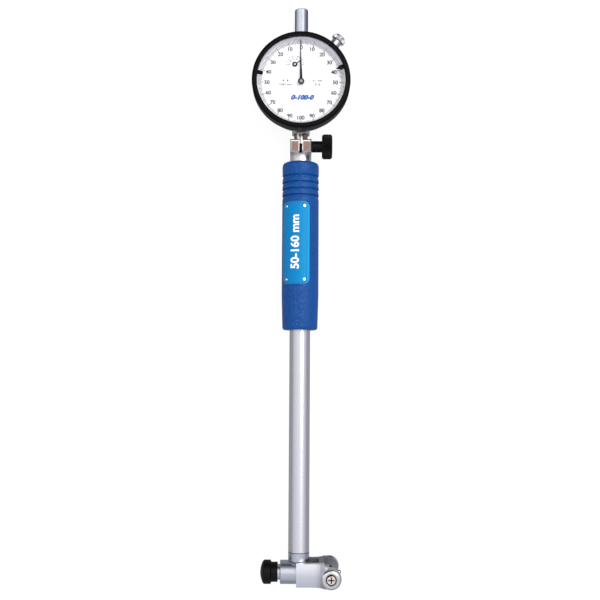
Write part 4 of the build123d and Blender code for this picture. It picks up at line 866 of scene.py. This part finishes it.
def coil_tree():
    """A node tree that winds a wire into a coil spring along local Z, from its own sizes."""
    tree = bpy.data.node_groups.new("wound_coil", "GeometryNodeTree")
    tree.interface.new_socket(name="Mesh", in_out="OUTPUT", socket_type="NodeSocketGeometry")
    for label, kind in (("Radius", "Float"), ("Wire", "Float"), ("Length", "Float"),
                        ("Turns", "Float"), ("Finish", "Material")):
        tree.interface.new_socket(name=label, in_out="INPUT", socket_type="NodeSocket" + kind)
    given = tree.nodes.new("NodeGroupInput").outputs
    path = add(tree, "GeometryNodeCurveSpiral", {
        "Resolution": 32, "Rotations": given["Turns"], "Start Radius": given["Radius"],
        "End Radius": given["Radius"], "Height": given["Length"]})
    section = add(tree, "GeometryNodeCurvePrimitiveCircle", {"Resolution": 10, "Radius": given["Wire"]})
    wire = add(tree, "GeometryNodeCurveToMesh", {
        "Curve": path.outputs["Curve"], "Profile Curve": section.outputs["Curve"], "Fill Caps": True})
    finished = add(tree, "GeometryNodeSetMaterial", {
        "Geometry": wire.outputs["Mesh"], "Material": given["Finish"]})
    end = tree.nodes.new("NodeGroupOutput")
    tree.links.new(finished.outputs["Geometry"], end.inputs["Mesh"])
    return tree


def sprung(name, start, direction, length, radius, wire, turns):
    """A coil spring wound between two faces and fixed to the frame."""
    coil = grown(bpy.data.meshes.new(name), coil_winding, spring_steel, {
        "Radius": radius, "Wire": wire / 2, "Length": length - wire, "Turns": float(turns)})
    half_wire = Matrix.Translation((0, 0, wire / 2))
    piece = fit(name + "_wound", smoothed(coil, 60), Matrix.Translation(start) @ direction @ half_wire,
                spring_steel, "frame", "steel", name)
    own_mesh(piece)


coil_winding = coil_tree()
rod_shoulder = 186.5
guide_face = 205.0
sprung("rod_spring", (0, rod_shoulder, 0), UP_THE_TUBE, length=guide_face - rod_shoulder, radius=2.4,
       wire=0.5, turns=7)


# Head
# The body is turned and milled from one bar and satin chromed. It holds the bell crank on
# its pin and the measuring contact, whose end is lapped round.
# Satin chromed head: greyer and glossier than the tube, its tool marks round the cross bar.
chromed_head, tree, shader, place = new_material("satin_chromed_head", "#c6cad4", 1.0, 0.24)
lined(tree, shader, place, (5.0, 0.8, 0.8), 0.0012)
paint("head_body", chromed_head)
for name in ("bell_crank", "crank_pin", "measuring_contact", "nose_bush"):
    paint(name, ground_steel)


# Anvil nut
# A cap nut of black plastic screws on the stub and holds the anvil. Its end is slightly
# domed and catches a grey light.
# Moulded black plastic: black with a soft sheen.
black_plastic, tree, shader, place = new_material(
    "moulded_black_plastic", "#070708", 0.0, 0.4, Specular_IOR_Level=0.16)
lined(tree, shader, place, (2.0, 2.0, 2.0), 0.004)
paint("anvil_nut", black_plastic)


# Centring bridge and rollers
# The bridge is a milled steel fork, bead blasted and satin chromed, with brushed lines up
# its face. It carries two hardened rollers on polished cross recess screws.
# Satin chromed bridge: pale and silky, its lines running up and down. A painted highlight makes it palest
# at the top of its front face, and painted shade keeps the inside of the fork and its far arm grey.
chromed_bridge, tree, shader, place = new_material("satin_chromed_bridge", "#eceef4", 1.0, 0.34)
lined(tree, shader, place, (5.0, 0.25, 2.0), 0.003)
bridge_half_height = 6.4
# Painted highlight: the front face is painted paler towards its top.
painted_light_tint = tint_along(tree, place, "Y", -bridge_half_height, bridge_half_height, [
    (0.0, "#b9bcc9"), (0.45, "#cfd1dc"), (0.8, "#eeeff5"), (1.0, "#f6f6fa")])
across = add(tree, "ShaderNodeSeparateXYZ", {"Vector": place})
# Painted shade: everything behind the front arm, the inside of the fork and the far arm, is painted dark
# grey.
clear_of_painted_shade = add(tree, "ShaderNodeMapRange", {
    "Value": across.outputs["Z"], "From Min": 6.7, "From Max": 6.9})
bridge_painted_light_and_shade = add(tree, "ShaderNodeMix", {
    0: clear_of_painted_shade.outputs["Result"], 6: linear("#8c8c94"), 7: painted_light_tint}, data_type="RGBA")
tree.links.new(bridge_painted_light_and_shade.outputs[2], shader.inputs["Base Color"])
# Polished hardened steel: a mirror finish that shows the tent and its opening.
polished_steel, tree, shader, place = new_material("polished_hardened_steel", "#d9dade", 1.0, 0.08)
lined(tree, shader, place, (1.0, 1.0, 1.0), 0.0015, 0.02)
# Polished screw heads: mirror bright, with painted warm shade in their recesses.
polished_screw, tree, shader, place = new_material("polished_screw_head", "#eee8e2", 1.0, 0.12)
lined(tree, shader, place, (2.0, 2.0, 2.0), 0.002, 0.02)
across = add(tree, "ShaderNodeSeparateXYZ", {"Vector": place})
screw_face = 22.08
depth = add(tree, "ShaderNodeMath", {0: across.outputs["Z"]}, operation="ABSOLUTE")
recess = add(tree, "ShaderNodeMapRange", {
    "Value": depth.outputs[0], "From Min": screw_face - 0.18, "From Max": screw_face})
# Painted shade: the cross recesses are painted a dark warm brown.
recess_painted_shade = add(tree, "ShaderNodeValToRGB", {"Fac": recess.outputs["Result"]})
tree.links.new(stops(recess_painted_shade, [(0.0, "#3a291f"), (0.6, "#8a6a50"), (1.0, "#eee8e2")]),
               shader.inputs["Base Color"])
paint("centring_bridge", chromed_bridge)
roller_reach = 17.9
roller_bore = 1.56
roller_radius = 5.75
roller_back = 17.4
roller_face = 21.45
roller_recess = 20.9
roller_line = eased([
    (roller_bore, roller_back), (5.2, roller_back, 0.5), (roller_radius, 17.9, 0.3),
    (roller_radius, 19.4), (5.66, 20.0), (5.4, 20.55), (4.98, 21.0), (4.4, 21.32),
    (3.75, roller_face), (3.4, roller_face, 0.1), (3.3, roller_recess), (roller_bore, roller_recess)])
for side, name in ((1, "front_roller"), (-1, "rear_roller")):
    spun = [(radius, side * level) for radius, level in roller_line]
    fit(name + "_polished", turned("roller", spun, 96), Matrix.Translation((roller_reach, 0, 0)),
        polished_steel, name, "chrome", name)
for name in ("roller_screws", "bridge_stop"):
    paint(name, polished_screw)
head_face = 4.4
bridge_face = 11.5
sprung("bridge_spring", (head_face, 0, 0), TO_THE_RIGHT, length=bridge_face - head_face, radius=5.3,
       wire=0.6, turns=4)


# Table and background
# A pale matt table. The camera, the crystal and the metals see it nearly white, because part
# of it glows for them, and it keeps the gauge's soft shadow.
table_mesh = bpy.data.meshes.new("table")
reach = 2.5
table_mesh.from_pydata([(-reach, -reach, 0), (reach, -reach, 0), (reach, reach, 0), (-reach, reach, 0)],
                       [], [(0, 1, 2, 3)])
table = bpy.data.objects.new("table", table_mesh)
bpy.context.scene.collection.objects.link(table)
table_finish = bpy.data.materials.new("pale_matt_table")
table_finish.use_nodes = True
tree = table_finish.node_tree
shader = tree.nodes["Principled BSDF"]
shader.inputs["Base Color"].default_value = linear("#e6e6e8")
shader.inputs["Roughness"].default_value = 0.9
rays = add(tree, "ShaderNodeLightPath").outputs
glow_seen = add(tree, "ShaderNodeMath", {
    0: rays["Is Camera Ray"], 1: rays["Is Transmission Ray"]}, operation="MAXIMUM")
lit_by_itself = add(tree, "ShaderNodeMath", {
    0: rays["Is Glossy Ray"], 1: glow_seen.outputs[0]}, operation="MAXIMUM")
glow_share = add(tree, "ShaderNodeMath", {0: lit_by_itself.outputs[0], 1: 0.85}, operation="MULTIPLY")
glow_strength = add(tree, "ShaderNodeMath", {
    0: glow_seen.outputs[0], 1: 0.78, 2: 0.28}, operation="MULTIPLY_ADD")
glow = add(tree, "ShaderNodeEmission", {"Color": (1, 1, 1, 1), "Strength": glow_strength.outputs[0]})
mixed = add(tree, "ShaderNodeMixShader", {0: glow_share.outputs[0], 1: shader.outputs[0],
                                          2: glow.outputs[0]})
tree.links.new(mixed.outputs[0], tree.nodes["Material Output"].inputs["Surface"])
table_mesh.materials.append(table_finish)


# Light
# A white tent: bright overhead, darker towards its foot and beyond the dial, with a dark
# opening there that polished metal mirrors. One soft lamp stands above to the right.
world = bpy.data.worlds.new("white_tent")
bpy.context.scene.world = world
world.use_nodes = True
tree = world.node_tree
direction = add(tree, "ShaderNodeTexCoord").outputs["Generated"]
toward = add(tree, "ShaderNodeSeparateXYZ", {"Vector": direction}).outputs
height = add(tree, "ShaderNodeValToRGB", {"Fac": toward["Z"]})
overhead = stops(height, [
    (0.0, "#a0a0a6"), (0.25, "#c8c8cc"), (0.5, "#e2e2e4"), (0.8, "#ececee"), (1.0, "#ffffff")])
along_tube = add(tree, "ShaderNodeMapRange", {
    "Value": toward["Y"], "From Min": -1.0, "From Max": 1.0})
field = add(tree, "ShaderNodeValToRGB", {"Fac": along_tube.outputs["Result"]})
bright_field = stops(field, [(0.0, "#dadade"), (0.47, "#dadade"), (0.53, "#ffffff"), (0.8, "#ffffff"),
                             (0.86, "#d8d8dc"), (0.94, "#9a9aa0"), (1.0, "#5c5c62")])
both = add(tree, "ShaderNodeMix", {0: 1.0, 6: overhead, 7: bright_field}, data_type="RGBA",
           blend_type="MULTIPLY")
opening_at = add(tree, "ShaderNodeVectorMath", {0: direction, 1: (-0.35, 1.0, 0)},
                 operation="DOT_PRODUCT")
opening_there = add(tree, "ShaderNodeMapRange", {
    "Value": opening_at.outputs["Value"], "From Min": 0.72, "From Max": 0.78})
opening_low = add(tree, "ShaderNodeMapRange", {"Value": toward["Z"], "From Min": 0.72, "From Max": 0.64})
aside = add(tree, "ShaderNodeMath", {0: toward["X"]}, operation="ABSOLUTE")
opening_aside = add(tree, "ShaderNodeMapRange", {
    "Value": aside.outputs[0], "From Min": 0.08, "From Max": 0.16})
opening_wide = add(tree, "ShaderNodeMath", {
    0: opening_there.outputs["Result"], 1: opening_aside.outputs["Result"]}, operation="MULTIPLY")
opening = add(tree, "ShaderNodeMath", {
    0: opening_wide.outputs[0], 1: opening_low.outputs["Result"]}, operation="MULTIPLY")
tent_colour = add(tree, "ShaderNodeMix", {
    0: opening.outputs[0], 6: both.outputs[2], 7: linear("#26272c")}, data_type="RGBA")
seen_by = add(tree, "ShaderNodeLightPath").outputs
plain_white = add(tree, "ShaderNodeMath", {
    0: seen_by["Is Camera Ray"], 1: seen_by["Is Transmission Ray"]}, operation="MAXIMUM")
tent_strength = add(tree, "ShaderNodeMath", {
    0: seen_by["Is Diffuse Ray"], 1: 0.68, 2: 1.25}, operation="MULTIPLY_ADD")
tent = add(tree, "ShaderNodeBackground", {
    "Color": tent_colour.outputs[2], "Strength": tent_strength.outputs[0]})
backdrop = add(tree, "ShaderNodeBackground", {"Color": (1, 1, 1, 1), "Strength": 1.0})
chosen = add(tree, "ShaderNodeMixShader", {0: plain_white.outputs[0], 1: tent.outputs[0],
                                           2: backdrop.outputs[0]})
tree.links.new(chosen.outputs[0], tree.nodes["World Output"].inputs["Surface"])
lamp_data = bpy.data.lights.new("soft_lamp", "AREA")
lamp_data.shape = "DISK"
lamp_data.size = 0.8
lamp_data.energy = 5.0
lamp = bpy.data.objects.new("soft_lamp", lamp_data)
bpy.context.scene.collection.objects.link(lamp)
lamp_from = Vector((0.55, 0.45, 1.0))
lamp.matrix_world = Matrix.Translation(lamp_from) @ lamp_from.to_track_quat("Z", "Y").to_matrix().to_4x4()


# Camera
# It looks down on the gauge from above the middle of the tube, as in the photograph.
camera_data = bpy.data.cameras.new("camera")
camera_data.sensor_width = 36
camera_data.lens = 54.06
camera_data.clip_start = 0.01
camera = bpy.data.objects.new("camera", camera_data)
bpy.context.scene.collection.objects.link(camera)
eye = gauge @ Vector((0, 109.5, 525))
camera_back = gauge_turn @ Vector((0, -0.0873, 0.9962))
camera_up = gauge_turn @ Vector((-sin(radians(0.3)), cos(radians(0.3)), 0))
camera_right = camera_up.cross(camera_back).normalized()
camera_up = camera_back.cross(camera_right)
camera_turn = Matrix((camera_right, camera_up, camera_back)).transposed().to_4x4()
camera.matrix_world = Matrix.Translation(eye) @ camera_turn
bpy.context.scene.camera = camera
bpy.context.scene.view_settings.view_transform = "Standard"
